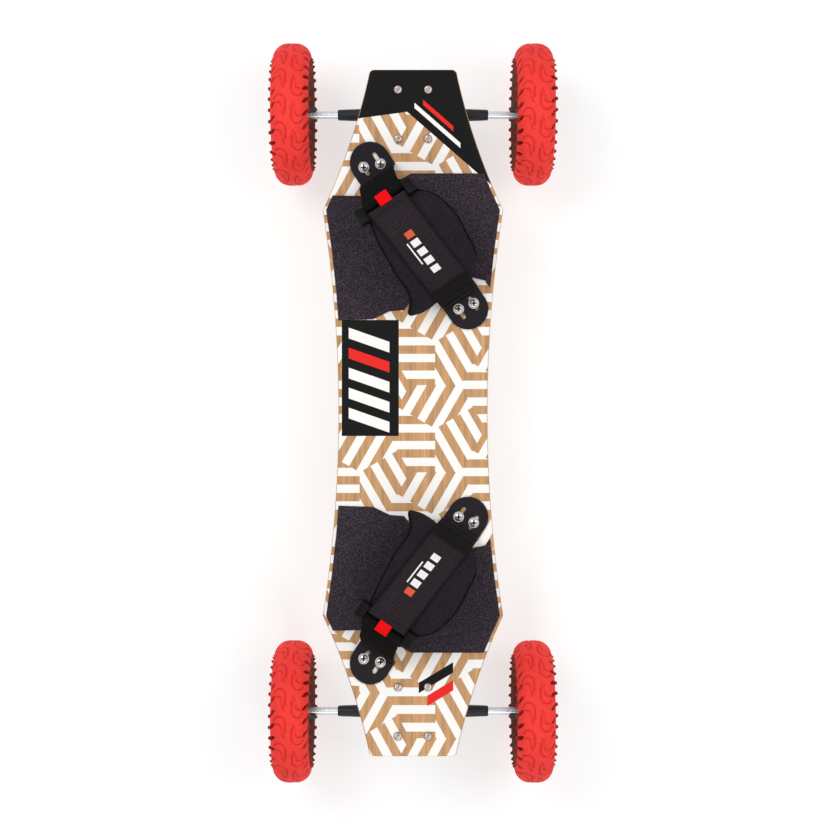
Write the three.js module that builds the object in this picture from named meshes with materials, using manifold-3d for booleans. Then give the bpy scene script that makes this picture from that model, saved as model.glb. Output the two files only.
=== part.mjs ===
// A mountainboard: a laminated bamboo deck with upturned tips, two kingpin trucks on rubber
// bushings, four 8-inch air tyres on split rims, and two foot bindings with padded arches.
// Millimetres, +Z up, +Y towards the nose, +X to the right seen from above. The origin is on the
// ground under the middle of the deck.
import * as THREE from "three";
import { mergeVertices } from "three/addons/utils/BufferGeometryUtils.js";
import Module from "manifold-3d";

const wasm = await Module();
wasm.setup();

// General
const GAP = 0.3; // between pieces that touch
const OVERRUN = 4; // how far a cutting tool runs past the piece that it cuts
const DEGREE = Math.PI / 180;
const NUT_SIDES = 6;
const BOLT_SEGMENTS = 6;
const HEAD_SEGMENTS = 10;
const PIN_SEGMENTS = 12;
const BOSS_SEGMENTS = 14;
const BALL_BANDS = 4;
const OUTLINE_SEGMENTS = 6;

// Deck. Places along it are measured from the end of each tip.
const DECK_LENGTH = 945;
const DECK_WAIST = 209;
const DECK_SHOULDER = 253;
const SHOULDER_FROM_TIP = 188.5;
const TIP_WIDTH = 122;
const TIP_CORNER = 7;
const TAPER_CONTROL_WIDTH = 163;
const TAPER_CONTROL_FROM_TIP = 94.5;
const DECK_THICKNESS = 13;
const DECK_EDGE = 3;
const BEND_FROM_TIP = 202.5;
const BEND_RADIUS = 423;
const TIP_ANGLE = 13 * DEGREE;
const WAIST_STEPS = 5;
const TAPER_STEPS = 8;

// Grip sheets
const GRIP_THICKNESS = 1.2;
const GRIP_INSET = 5;
const GRIP_CLEAR_OF_ANCHOR = 0.6;
// Top and bottom boundary lines of the front sheet: x as a share of half the shoulder width,
// y as a share of half the deck length.
const GRIP_NOSE_SIDE_SHARES = [
  [-1.1, 0.645],
  [-0.55, 0.642],
  [-0.135, 0.69],
  [-0.02, 0.708],
  [1.1, 0.708],
];
const GRIP_WAIST_SIDE_SHARES = [
  [1.1, 0.362],
  [0.88, 0.362],
  [0.8, 0.392],
  [0.67, 0.401],
  [0.24, 0.335],
  [-0.02, 0.333],
  [-0.1, 0.305],
  [-0.255, 0.302],
  [-0.44, 0.278],
  [-1.1, 0.272],
];

// Trucks, in a frame whose origin is on the deck underside over the baseplate's centre:
// x along the axle, y outward along the tip, z square to the deck and up.
const TRUCK_FROM_TIP = 55.6;
const PLATE_WIDTH = 54;
const PLATE_LENGTH = 90;
const PLATE_THICKNESS = 7;
const PLATE_CORNER = 8;
const BOLT_SPACING_X = 41.7;
const BOLT_SPACING_Y = 67;
const BOLT_RADIUS = 3;
const BOLT_HEAD_RADIUS = 6;
const BOLT_HEAD_HEIGHT = 3;
const BOLT_HEAD_CROWN = 4.2;
const LOCKNUT_FLATS = 10;
const LOCKNUT_HEIGHT = 6;
const KINGPIN_Y = -23;
const KINGPIN_RADIUS = 5;
const KINGPIN_HEAD_FLATS = 16;
const KINGPIN_HEAD_HEIGHT = 5;
const KINGPIN_END = 3;
const KINGPIN_NUT_FLATS = 17;
const KINGPIN_NUT_HEIGHT = 10;
const BUSHING_SEAT_HEIGHT = 10;
const BUSHING_SEAT_RADIUS = 17;
const BUSHING_RADIUS = 12.5;
const BUSHING_WAIST = 1.5;
const BOARDSIDE_BUSHING_HEIGHT = 15.5;
const ROADSIDE_BUSHING_HEIGHT = 14.5;
const WASHER_RADIUS = 11.5;
const WASHER_CUP_RADIUS = 9.8;
const WASHER_THICKNESS = 2.5;
const RING_RADIUS = 16.5;
const RING_HEIGHT = 12;
const RING_BORE = 8;
const PIVOT_Y = 28;
const PIVOT_DEPTH = 16;
const PIVOT_NOSE_RADIUS = 7;
const PIVOT_NOSE_LENGTH = 14;
const PIVOT_CUP_WALL = 2.4;
const PIVOT_CUP_DEPTH = 9;
const PIVOT_BOSS_WALL = 4;

// Hanger and axle
const AXLE_Y = -4;
const AXLE_DEPTH = 58;
const HANGER_WIDTH = 215;
const HANGER_MID_RADIUS = 9.5;
const HANGER_END_RADIUS = 7.6;
const HANGER_WEB_WIDTH = 88;
const HANGER_WEB_THICKNESS = 15;
const HANGER_WEB_NECK = 26.4;
const BUSHING_ROOM_SEGMENTS = 16;
const HANGER_ARM_RADIUS = 9;
const AXLE_RADIUS = 6;
const AXLE_END = 3;
const AXLE_NUT_FLATS = 19;
const AXLE_NUT_HEIGHT = 9;

// Wheels, about their own centres, spinning about x, with the inner side at -x
const TRACK = 342;
const TYRE_RADIUS = 100;
const TYRE_WIDTH = 52;
const TYRE_WALL = 5.5;
const TREAD_KNOBS = 32;
const TREAD_KNOB_SHARE = 0.58;
const TREAD_DEPTH = 4;
const TREAD_STAGGER_SHARE = 0.25;
const SHOULDER_DROP = 11;
const SHOULDER_DEPTH = 6;
const CROWN_HALF_WIDTH = 10;
const SIDEWALL_SEGMENTS = 24;
const BEAD_SEGMENTS = 12;
const TYRE_WIDEST_RADIUS = 72;
const BEAD_WIDTH = 3.5;
const RIM_WIDTH = 38;
const RIM_BARREL_RADIUS = 47.5;
const RIM_WALL = 3.5;
const RIM_FLANGE_HEIGHT = 6;
const RIM_FLANGE_THICKNESS = 2.7;
const RIM_WEB_THICKNESS = 5.5;
const RIM_SEGMENTS = 14;
const HUB_RADIUS = 20;
const SPOKES = 5;
const SPOKE_WIDTH = 15;
const SPOKE_ROOT = 3;
const BEARING_RADIUS = 14;
const BEARING_WIDTH = 8;
const BEARING_SEGMENTS = 12;
const HUB_LIP = 2;
const VALVE_RADIUS = 2.8;
const VALVE_CAP_RADIUS = 4.6;
const VALVE_CAP_LENGTH = 11;
const VALVE_REACH = 35;

// Bindings, in a frame with s along the strap from the outer anchor to the inner one, t across it
// and z up from the flat of the deck top. The origin is between the outer anchor's two screws.
const BINDING_MIDDLE_X = 8.64;
const BINDING_MIDDLE_FROM_TIP = 225.16;
const BINDING_ANGLE = 56.2 * DEGREE;
const ANCHOR_SPACING = 236;
const ANCHOR_WIDTH = 56;
const ANCHOR_THICKNESS = 3;
const ANCHOR_TAIL = 32.5;
const ANCHOR_TAIL_STEPS = 7;
const ANCHOR_LIP_FROM_SCREWS = 13;
const ANCHOR_LIP_HEIGHT = 20;
const ANCHOR_SLOT_BEHIND = 14;
const ANCHOR_SLOT_AHEAD = 9;
const ANCHOR_SLOT_WIDTH = 7;
const ANCHOR_SCREW_SPACING = 22;
const OUTER_SCREW_STAGGER = 4.5;
const INNER_SCREW_STAGGER = 2.5;
const SCREW_RADIUS = 3;
const SCREW_HEAD_RADIUS = 7.5;
const SCREW_HEAD_HEIGHT = 3.5;
const SCREW_HEAD_CROWN = 4.5;
const SCREW_TIP_DEPTH = 9;
const WEBBING_WIDTH = 58.5;
const WEBBING_THICKNESS = 2.6;
const LOWER_WEBBING_WIDTH = 54;
const LOWER_WEBBING_START_SHARE = 0.035;
const LOWER_WEBBING_STEPS = 8;
const STRAP_END_SHARE = 0.985;
const STRAP_STEPS = 18;
const ARCH_HEIGHT = 88;
const ARCH_TOP_FROM_OUTER_LIP = 110;
const ARCH_FULLNESS = 2.3;
const STRAP_SKEW = 17;
const RING_BAR_RADIUS = 3.4;
const RING_BAR_SPACING = 15;
const RING_OUTER_WIDTH = 88;
const RING_LUG_THICKNESS = 11;
const RING_ARCH_SHARE = 0.322;
const EYE_WALL = 2.2;
const PULL_TAB_SIZE = 18;
const PULL_TAB_THICKNESS = 2;
const PAD_THICKNESS = 9;
const PAD_EDGE_THICKNESS = 4;
const PAD_SECTIONS = 17;
// The pad's section, as shares of the way from its left edge to its right one.
const PAD_OUTER_SHARES = [0, 0.06, 0.16, 0.3, 0.5, 0.7, 0.84, 0.94, 1];
const PAD_INNER_SHARES = [0.92, 0.7, 0.5, 0.3, 0.08];
// Pad edges along the arch: share of the way over, then left and right edge as shares of the
// webbing's width.
const PAD_EDGE_SHARES = [
  [0.168, -0.71, 0.21],
  [0.239, -0.79, 0.36],
  [0.325, -0.89, 0.48],
  [0.379, -0.96, 0.75],
  [0.427, -1.02, 0.86],
  [0.5, -1.07, 0.95],
  [0.578, -1.11, 0.93],
  [0.675, -1.09, 0.89],
  [0.735, -1.11, 0.84],
  [0.79, -1.18, 0.66],
  [0.849, -1.3, 0.54],
  [0.913, -1.07, 0.45],
];

// Materials
const FINISH = {
  wood: new THREE.MeshStandardMaterial({ color: 0xcda06e, roughness: 0.45, metalness: 0 }),
  grip: new THREE.MeshStandardMaterial({ color: 0x322d34, roughness: 0.95, metalness: 0 }),
  black_metal: new THREE.MeshStandardMaterial({ color: 0x10151c, roughness: 0.4, metalness: 0.6 }),
  steel: new THREE.MeshStandardMaterial({ color: 0xc9ccd0, roughness: 0.3, metalness: 1 }),
  bushing: new THREE.MeshStandardMaterial({ color: 0xc8641e, roughness: 0.5, metalness: 0 }),
  tyre: new THREE.MeshStandardMaterial({ color: 0xf03c32, roughness: 0.6, metalness: 0 }),
  tube: new THREE.MeshStandardMaterial({ color: 0x1a1a1a, roughness: 0.7, metalness: 0 }),
  rim: new THREE.MeshStandardMaterial({ color: 0x18181a, roughness: 0.55, metalness: 0 }),
  plastic: new THREE.MeshStandardMaterial({ color: 0x242228, roughness: 0.6, metalness: 0 }),
  webbing: new THREE.MeshStandardMaterial({ color: 0x2d262d, roughness: 0.85, metalness: 0 }),
  pad: new THREE.MeshStandardMaterial({ color: 0x232326, roughness: 0.8, metalness: 0 }),
};

// Solids and booleans

function mergeBare(geometry) {
  const bare = geometry.clone();
  bare.deleteAttribute("normal");
  bare.deleteAttribute("uv");
  return mergeVertices(bare, 1e-4);
}

function solid(geometry) {
  const merged = mergeBare(geometry);
  return new wasm.Manifold(
    new wasm.Mesh({
      numProp: 3,
      vertProperties: merged.attributes.position.array,
      triVerts: new Uint32Array(merged.index.array),
    }),
  );
}

function geometryOf(manifold) {
  const mesh = manifold.getMesh();
  const geometry = new THREE.BufferGeometry();
  geometry.setAttribute("position", new THREE.BufferAttribute(mesh.vertProperties, 3));
  geometry.setIndex(new THREE.BufferAttribute(mesh.triVerts, 1));
  const flat = geometry.toNonIndexed();
  flat.computeVertexNormals();
  return flat;
}

function unionOf(solids) {
  return solids.reduce((sum, next) => sum.add(next));
}

// A geometry whose rings of points are joined one to the next. Two neighbouring rings have the
// same count, or one has a whole number of times as many points as the other.
function ringSurface(rings, closesOnItself) {
  const positions = rings.flat().flatMap((p) => [p.x, p.y, p.z]);
  const starts = [0];
  rings.forEach((ring, i) => starts.push(starts[i] + ring.length));
  const faces = [];
  const joins = closesOnItself ? rings.length : rings.length - 1;
  for (let i = 0; i < joins; i++) {
    const j = (i + 1) % rings.length;
    const near = rings[i].length;
    const far = rings[j].length;
    const coarse = Math.min(near, far);
    const nearStep = near / coarse;
    const farStep = far / coarse;
    for (let k = 0; k < coarse; k++) {
      const a = (n) => starts[i] + (k * nearStep + n) % near;
      const b = (n) => starts[j] + (k * farStep + n) % far;
      for (let n = 0; n < nearStep; n++) faces.push(a(n), a(n + 1), b(0));
      for (let n = 0; n < farStep; n++) faces.push(a(nearStep), b(n + 1), b(n));
    }
  }
  if (!closesOnItself) {
    const last = rings.length - 1;
    for (let k = 1; k < rings[0].length - 1; k++) faces.push(starts[0], starts[0] + k + 1, starts[0] + k);
    for (let k = 1; k < rings[last].length - 1; k++)
      faces.push(starts[last], starts[last] + k, starts[last] + k + 1);
  }
  const geometry = new THREE.BufferGeometry();
  geometry.setAttribute("position", new THREE.Float32BufferAttribute(positions, 3));
  geometry.setIndex(signedVolume(positions, faces) < 0 ? faces.reverse() : faces);
  return geometry;
}

function signedVolume(positions, faces) {
  const corner = (n) => new THREE.Vector3().fromArray(positions, 3 * faces[n]);
  let volume = 0;
  for (let n = 0; n < faces.length; n += 3)
    volume += corner(n).dot(corner(n + 1).cross(corner(n + 2)));
  return volume;
}

// A cylinder or cone between two points.
function rod(from, to, radius, segments, endRadius = radius) {
  const axis = to.clone().sub(from);
  const geometry = new THREE.CylinderGeometry(endRadius, radius, axis.length(), segments);
  const turn = new THREE.Quaternion().setFromUnitVectors(
    new THREE.Vector3(0, 1, 0),
    axis.clone().normalize(),
  );
  const middle = from.clone().add(to).multiplyScalar(0.5);
  return geometry.applyQuaternion(turn).translate(middle.x, middle.y, middle.z);
}

// The circle radius of a polygon whose flats clear a round pin.
function boreRadius(pinRadius, segments) {
  return (pinRadius + GAP) / Math.cos(Math.PI / segments);
}

function hexRadius(flats) {
  return flats / 2 / Math.cos(Math.PI / 6);
}

function upright(points, bottom, top) {
  const shape = new THREE.Shape(points.map(([x, y]) => new THREE.Vector2(x, y)));
  const geometry = new THREE.ExtrudeGeometry(shape, {
    depth: top - bottom,
    bevelEnabled: false,
    curveSegments: OUTLINE_SEGMENTS,
  });
  return geometry.translate(0, 0, bottom);
}

// Revolves a closed outline of [x, radius] points about the x axis.
function turned(outline, segments) {
  const points = outline.map(([x, r]) => new THREE.Vector2(r, x));
  points.push(points[0].clone());
  const geometry = new THREE.LatheGeometry(points, segments).rotateZ(-Math.PI / 2);
  const merged = mergeBare(geometry);
  const faces = Array.from(merged.index.array);
  const inward = signedVolume(Array.from(merged.attributes.position.array), faces) < 0;
  if (inward) merged.setIndex(faces.reverse());
  return merged;
}

// The deck's form

const halfDeck = DECK_LENGTH / 2;
const shoulderY = halfDeck - SHOULDER_FROM_TIP;
const bendStart = halfDeck - BEND_FROM_TIP;

// A point at height h over the deck top. From bendStart the deck bends until the tip stands at
// TIP_ANGLE, and the tip is straight from there.
function overDeck(x, planY, h) {
  const side = Math.sign(planY) || 1;
  const bend = Math.max(0, Math.abs(planY) - bendStart);
  const bendReach = BEND_RADIUS * Math.sin(TIP_ANGLE);
  const angle = Math.min(TIP_ANGLE, Math.asin(Math.min(1, bend / BEND_RADIUS)));
  const beyond = Math.max(0, bend - bendReach);
  const rise = BEND_RADIUS * (1 - Math.cos(angle)) + beyond * Math.tan(TIP_ANGLE);
  return new THREE.Vector3(x, planY - side * h * Math.sin(angle), rise + h * Math.cos(angle));
}

// Half-widths of the deck at stations from the middle to the end.
function deckStations() {
  const stations = [];
  for (let i = 0; i < WAIST_STEPS; i++) {
    const share = i / WAIST_STEPS;
    const flare = (DECK_SHOULDER - DECK_WAIST) / 2;
    stations.push([share * shoulderY, DECK_WAIST / 2 + flare * share ** 2]);
  }
  const taper = new THREE.QuadraticBezierCurve(
    new THREE.Vector2(DECK_SHOULDER / 2, shoulderY),
    new THREE.Vector2(TAPER_CONTROL_WIDTH / 2, halfDeck - TAPER_CONTROL_FROM_TIP),
    new THREE.Vector2(TIP_WIDTH / 2, halfDeck - TIP_CORNER),
  );
  for (const p of taper.getPoints(TAPER_STEPS)) stations.push([p.y, p.x]);
  for (const turn of [45, 90]) {
    const along = TIP_CORNER * Math.sin(turn * DEGREE);
    const inward = TIP_CORNER * (1 - Math.cos(turn * DEGREE));
    stations.push([halfDeck - TIP_CORNER + along, TIP_WIDTH / 2 - inward]);
  }
  return stations;
}

// The deck, or a sheet over it: a loft of flat sections from tail to nose.
function deckSheet(bottom, top, inset, edge) {
  const half = deckStations();
  const back = half.slice(1).reverse().map(([y, w]) => [-y, w]);
  const rings = [...back, ...half].map(([y, w]) => {
    const side = w - inset;
    const section = edge
      ? [
          [side - edge, top],
          [side, top - edge],
          [side, bottom + edge],
          [side - edge, bottom],
          [edge - side, bottom],
          [-side, bottom + edge],
          [-side, top - edge],
          [edge - side, top],
        ]
      : [
          [side, top],
          [side, bottom],
          [-side, bottom],
          [-side, top],
        ];
    return section.map(([x, h]) => overDeck(x, y, h));
  });
  return solid(ringSurface(rings, false));
}

// Trucks: the truck frame's origin, and the places that the pieces on the kingpin share.

const truckY = halfDeck - TRUCK_FROM_TIP - DECK_THICKNESS * Math.sin(TIP_ANGLE);
const truckOrigin = overDeck(0, truckY, -DECK_THICKNESS);
const seatBottom = -PLATE_THICKNESS - BUSHING_SEAT_HEIGHT;
const boardsideTop = seatBottom - GAP;
const ringTop = boardsideTop - BOARDSIDE_BUSHING_HEIGHT - GAP;
const ringMiddle = ringTop - RING_HEIGHT / 2;
const roadsideTop = ringTop - RING_HEIGHT - GAP;
const washerTop = roadsideTop - ROADSIDE_BUSHING_HEIGHT - GAP;
const nutTop = washerTop - WASHER_THICKNESS;
const ringCentre = new THREE.Vector3(0, KINGPIN_Y, ringMiddle);
const pivotCentre = new THREE.Vector3(0, PIVOT_Y, -PIVOT_DEPTH);
const steerAxis = pivotCentre.clone().sub(ringCentre).normalize();
const axleCentre = new THREE.Vector3(0, AXLE_Y, -AXLE_DEPTH);

function truckMatrix(end) {
  const tilt = new THREE.Matrix4().makeRotationX(TIP_ANGLE).setPosition(truckOrigin);
  return new THREE.Matrix4().makeRotationZ(end > 0 ? 0 : Math.PI).multiply(tilt);
}

// The tyre stands on the flat of one knob, so the axle is a little lower than the tyre's radius.
const knobHalfAngle = (Math.PI / TREAD_KNOBS) * TREAD_KNOB_SHARE;
const axleHeight = TYRE_RADIUS * Math.cos(knobHalfAngle);
const frontAxle = axleCentre.clone().applyMatrix4(truckMatrix(1));
const deckTopHeight = axleHeight - frontAxle.z;

function boltPlaces() {
  const x = BOLT_SPACING_X / 2;
  const y = BOLT_SPACING_Y / 2;
  return [
    [-x, -y],
    [x, -y],
    [x, y],
    [-x, y],
  ];
}

function onKingpin(z) {
  return new THREE.Vector3(0, KINGPIN_Y, z);
}

function onPivot(distance) {
  return pivotCentre.clone().addScaledVector(steerAxis, distance);
}

const cupBore = boreRadius(PIVOT_NOSE_RADIUS, PIN_SEGMENTS);
const cupRadius = cupBore + PIVOT_CUP_WALL;
const bossBore = boreRadius(cupRadius, PIN_SEGMENTS);

function roundedPlate(width, length, corner, bottom, top) {
  const shape = new THREE.Shape();
  const x = width / 2 - corner;
  const y = length / 2 - corner;
  shape.absarc(x, y, corner, 0, Math.PI / 2);
  shape.absarc(-x, y, corner, Math.PI / 2, Math.PI);
  shape.absarc(-x, -y, corner, Math.PI, 1.5 * Math.PI);
  shape.absarc(x, -y, corner, 1.5 * Math.PI, 2 * Math.PI);
  const geometry = new THREE.ExtrudeGeometry(shape, {
    depth: top - bottom,
    bevelEnabled: false,
    curveSegments: OUTLINE_SEGMENTS / 2,
  });
  return geometry.translate(0, 0, bottom);
}

// The baseplate carries the kingpin's seat, the pivot cup's boss and the four bolts that clamp it
// through the deck, each with its locknut.
function makeBaseplate() {
  const plate = solid(roundedPlate(PLATE_WIDTH, PLATE_LENGTH, PLATE_CORNER, -PLATE_THICKNESS, -GAP));
  const seat = solid(
    rod(
      onKingpin(-PLATE_THICKNESS / 2),
      onKingpin(seatBottom),
      BUSHING_SEAT_RADIUS,
      PIN_SEGMENTS,
      BUSHING_RADIUS,
    ),
  );
  const bossRadius = bossBore + PIVOT_BOSS_WALL;
  const bossFoot = onPivot(cupRadius + PIVOT_BOSS_WALL);
  const boss = solid(rod(onPivot(-PIVOT_CUP_DEPTH + GAP), bossFoot, bossRadius, BOSS_SEGMENTS));
  const overPlate = solid(
    new THREE.BoxGeometry(2 * PLATE_WIDTH, 2 * PLATE_LENGTH, PLATE_WIDTH).translate(
      0,
      0,
      PLATE_WIDTH / 2 - GAP,
    ),
  );
  const headPocket = rod(
    onKingpin(OVERRUN),
    onKingpin(-KINGPIN_HEAD_HEIGHT - 3 * GAP),
    hexRadius(KINGPIN_HEAD_FLATS) + 2 * GAP,
    PIN_SEGMENTS,
  );
  const kingpinHole = rod(
    onKingpin(OVERRUN),
    onKingpin(seatBottom - OVERRUN),
    boreRadius(KINGPIN_RADIUS, PIN_SEGMENTS),
    PIN_SEGMENTS,
  );
  const cupHole = rod(
    onPivot(-PIVOT_CUP_DEPTH - OVERRUN),
    onPivot(cupRadius + GAP),
    bossBore,
    PIN_SEGMENTS,
  );
  let base = unionOf([plate, seat, boss]).subtract(overPlate);
  for (const cutter of [headPocket, kingpinHole, cupHole]) base = base.subtract(solid(cutter));
  return geometryOf(unionOf([base, ...truckBolts()]));
}

function truckBolts() {
  const headSeat = DECK_THICKNESS + GAP;
  return boltPlaces().map(([x, y]) => {
    const at = (z) => new THREE.Vector3(x, y, z);
    const tip = -PLATE_THICKNESS - LOCKNUT_HEIGHT - GAP;
    const shank = rod(at(headSeat), at(tip), BOLT_RADIUS, BOLT_SEGMENTS);
    const headTop = headSeat + BOLT_HEAD_HEIGHT;
    const head = rod(at(headSeat), at(headTop), BOLT_HEAD_RADIUS, HEAD_SEGMENTS, BOLT_HEAD_CROWN);
    const nutFoot = -PLATE_THICKNESS - LOCKNUT_HEIGHT;
    const nut = rod(at(-PLATE_THICKNESS + GAP), at(nutFoot), hexRadius(LOCKNUT_FLATS), NUT_SIDES);
    return unionOf([solid(shank), solid(head), solid(nut)]);
  });
}

function makeKingpin() {
  const headTop = -2 * GAP;
  const head = rod(
    onKingpin(headTop),
    onKingpin(headTop - KINGPIN_HEAD_HEIGHT),
    hexRadius(KINGPIN_HEAD_FLATS),
    NUT_SIDES,
  );
  const end = nutTop - KINGPIN_NUT_HEIGHT - KINGPIN_END;
  const shank = rod(onKingpin(headTop - GAP), onKingpin(end), KINGPIN_RADIUS, PIN_SEGMENTS);
  return geometryOf(unionOf([solid(head), solid(shank)]));
}

// The nut with the cupped washer under it.
function makeKingpinNut() {
  const washer = rod(
    onKingpin(washerTop),
    onKingpin(nutTop),
    WASHER_RADIUS,
    PIN_SEGMENTS,
    WASHER_CUP_RADIUS,
  );
  const nutEnd = nutTop - KINGPIN_NUT_HEIGHT;
  const nut = rod(onKingpin(nutTop + GAP), onKingpin(nutEnd), hexRadius(KINGPIN_NUT_FLATS), NUT_SIDES);
  const bore = rod(
    onKingpin(washerTop + OVERRUN),
    onKingpin(nutEnd - OVERRUN),
    boreRadius(KINGPIN_RADIUS, PIN_SEGMENTS),
    PIN_SEGMENTS,
  );
  return geometryOf(solid(washer).add(solid(nut)).subtract(solid(bore)));
}

function makeBushing(top, height) {
  const bore = boreRadius(KINGPIN_RADIUS, PIN_SEGMENTS);
  const waist = BUSHING_RADIUS - BUSHING_WAIST;
  const outline = [
    [0, bore],
    [0, BUSHING_RADIUS],
    [height / 2, waist],
    [height, BUSHING_RADIUS],
    [height, bore],
  ];
  return turned(outline, PIN_SEGMENTS).rotateY(Math.PI / 2).translate(0, KINGPIN_Y, top);
}

function makePivotCup() {
  const outer = rod(onPivot(-PIVOT_CUP_DEPTH), onPivot(cupRadius), cupRadius, PIN_SEGMENTS);
  const inner = rod(onPivot(-PIVOT_CUP_DEPTH - OVERRUN), onPivot(0), cupBore, PIN_SEGMENTS);
  return geometryOf(solid(outer).subtract(solid(inner)).subtract(pivotBall(cupBore)));
}

function pivotBall(radius) {
  const ball = new THREE.SphereGeometry(radius, PIN_SEGMENTS, BALL_BANDS);
  const turn = new THREE.Quaternion().setFromUnitVectors(new THREE.Vector3(0, 1, 0), steerAxis);
  return solid(ball.applyQuaternion(turn).translate(...pivotCentre.toArray()));
}

// The hanger: a tapered tube round the axle, a webbed arm to the ring between the bushings, and
// the nose that turns in the pivot cup.
function makeHanger() {
  const half = HANGER_WIDTH / 2;
  const along = (x) => axleCentre.clone().setX(x);
  const tubes = [1, -1].map((side) =>
    solid(rod(along(0), along(side * half), HANGER_MID_RADIUS, PIN_SEGMENTS, HANGER_END_RADIUS)),
  );
  const ring = solid(rod(onKingpin(ringTop), onKingpin(ringTop - RING_HEIGHT), RING_RADIUS, BOSS_SEGMENTS));
  const noseRoot = onPivot(-PIVOT_NOSE_LENGTH);
  const arm = solid(rod(axleCentre, noseRoot, HANGER_ARM_RADIUS, PIN_SEGMENTS, PIVOT_NOSE_RADIUS));
  const nose = solid(rod(noseRoot, onPivot(0), PIVOT_NOSE_RADIUS, PIN_SEGMENTS));
  const knuckle = solid(
    new THREE.SphereGeometry(PIVOT_NOSE_RADIUS, HEAD_SEGMENTS, BALL_BANDS).translate(
      ...noseRoot.toArray(),
    ),
  );
  const body = unionOf([
    ...tubes,
    ring,
    solid(hangerWeb()),
    arm,
    nose,
    knuckle,
    pivotBall(PIVOT_NOSE_RADIUS),
  ]);
  const bushingRoom = BUSHING_RADIUS + 4 * GAP;
  const cutters = [
    rod(onKingpin(0), onKingpin(-AXLE_DEPTH), RING_BORE, PIN_SEGMENTS),
    rod(onKingpin(0), onKingpin(ringTop), bushingRoom, BUSHING_ROOM_SEGMENTS),
    rod(
      onKingpin(ringTop - RING_HEIGHT),
      onKingpin(-2 * AXLE_DEPTH),
      bushingRoom,
      BUSHING_ROOM_SEGMENTS,
    ),
    rod(along(-half - OVERRUN), along(half + OVERRUN), boreRadius(AXLE_RADIUS, PIN_SEGMENTS), PIN_SEGMENTS),
  ];
  return geometryOf(cutters.reduce((sum, cutter) => sum.subtract(solid(cutter)), body));
}

// The web's outline is a T with curved flanks, sheared so that it runs from the ring down to the
// axle tube.
function hangerWeb() {
  const neck = HANGER_WEB_NECK / 2;
  const reach = HANGER_WEB_WIDTH / 2;
  const back = AXLE_Y + HANGER_MID_RADIUS / 2;
  const front = AXLE_Y - HANGER_MID_RADIUS / 3;
  const shape = new THREE.Shape();
  shape.moveTo(-neck, KINGPIN_Y);
  shape.quadraticCurveTo(-neck, front, -reach, front);
  shape.lineTo(-reach, back);
  shape.lineTo(reach, back);
  shape.lineTo(reach, front);
  shape.quadraticCurveTo(neck, front, neck, KINGPIN_Y);
  const web = new THREE.ExtrudeGeometry(shape, {
    depth: HANGER_WEB_THICKNESS,
    bevelEnabled: false,
    curveSegments: OUTLINE_SEGMENTS,
  });
  const slope = (axleCentre.z - ringMiddle) / (AXLE_Y - KINGPIN_Y);
  const lift = ringMiddle - HANGER_WEB_THICKNESS / 2 - slope * KINGPIN_Y;
  const shear = new THREE.Matrix4().set(1, 0, 0, 0, 0, 1, 0, 0, 0, slope, 1, lift, 0, 0, 0, 1);
  return web.applyMatrix4(shear);
}

const hubHalf = RIM_WIDTH / 2 - HUB_LIP / 2;
const nutStart = TRACK / 2 + hubHalf + GAP;

function makeAxle() {
  const end = nutStart + AXLE_NUT_HEIGHT + AXLE_END;
  const at = (x) => axleCentre.clone().setX(x);
  return rod(at(-end), at(end), AXLE_RADIUS, PIN_SEGMENTS);
}

function makeAxleNut(side) {
  const at = (x) => axleCentre.clone().setX(side * x);
  const nut = rod(at(nutStart), at(nutStart + AXLE_NUT_HEIGHT), hexRadius(AXLE_NUT_FLATS), NUT_SIDES);
  const bore = rod(
    at(nutStart - OVERRUN),
    at(nutStart + AXLE_NUT_HEIGHT + OVERRUN),
    boreRadius(AXLE_RADIUS, PIN_SEGMENTS),
    PIN_SEGMENTS,
  );
  return geometryOf(solid(nut).subtract(solid(bore)));
}

// Wheels

const bearingBore = boreRadius(AXLE_RADIUS, BEARING_SEGMENTS);
const bearingSeat = boreRadius(BEARING_RADIUS, RIM_SEGMENTS);
const tyreHalf = TYRE_WIDTH / 2;
const beadRadius = boreRadius(RIM_BARREL_RADIUS, BEAD_SEGMENTS);
const beadOuter = RIM_WIDTH / 2 - RIM_FLANGE_THICKNESS - GAP;
const beadInner = beadOuter - BEAD_WIDTH;
const sidewallLow = RIM_BARREL_RADIUS + RIM_FLANGE_HEIGHT + 2 * GAP;
const cavityHalf = tyreHalf - TYRE_WALL;
const cavityTop = TYRE_RADIUS - TREAD_DEPTH - TYRE_WALL / 2;
const cavitySides = [TYRE_WIDEST_RADIUS - TYRE_WALL / 2, cavityTop - SHOULDER_DROP];

function wheelRing(x, radius, count) {
  return Array.from({ length: count }, (_, k) => {
    const angle = (k / count) * 2 * Math.PI;
    return new THREE.Vector3(x, radius * Math.sin(angle), -radius * Math.cos(angle));
  });
}

// One row of knobs: a valley and the two edges of a knob in each pitch. The phase turns the row
// by a share of a pitch.
function knobRow(x, knobRadius, depth, phaseShare) {
  const pitch = (2 * Math.PI) / TREAD_KNOBS;
  const stations = [
    [0, knobRadius - depth],
    [(1 - TREAD_KNOB_SHARE) / 2, knobRadius],
    [(1 + TREAD_KNOB_SHARE) / 2, knobRadius],
  ];
  return Array.from({ length: 3 * TREAD_KNOBS }, (_, n) => {
    const [share, radius] = stations[n % 3];
    const angle = pitch * (Math.floor(n / 3) + share + phaseShare - 0.5);
    return new THREE.Vector3(x, radius * Math.sin(angle), -radius * Math.cos(angle));
  });
}

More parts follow.
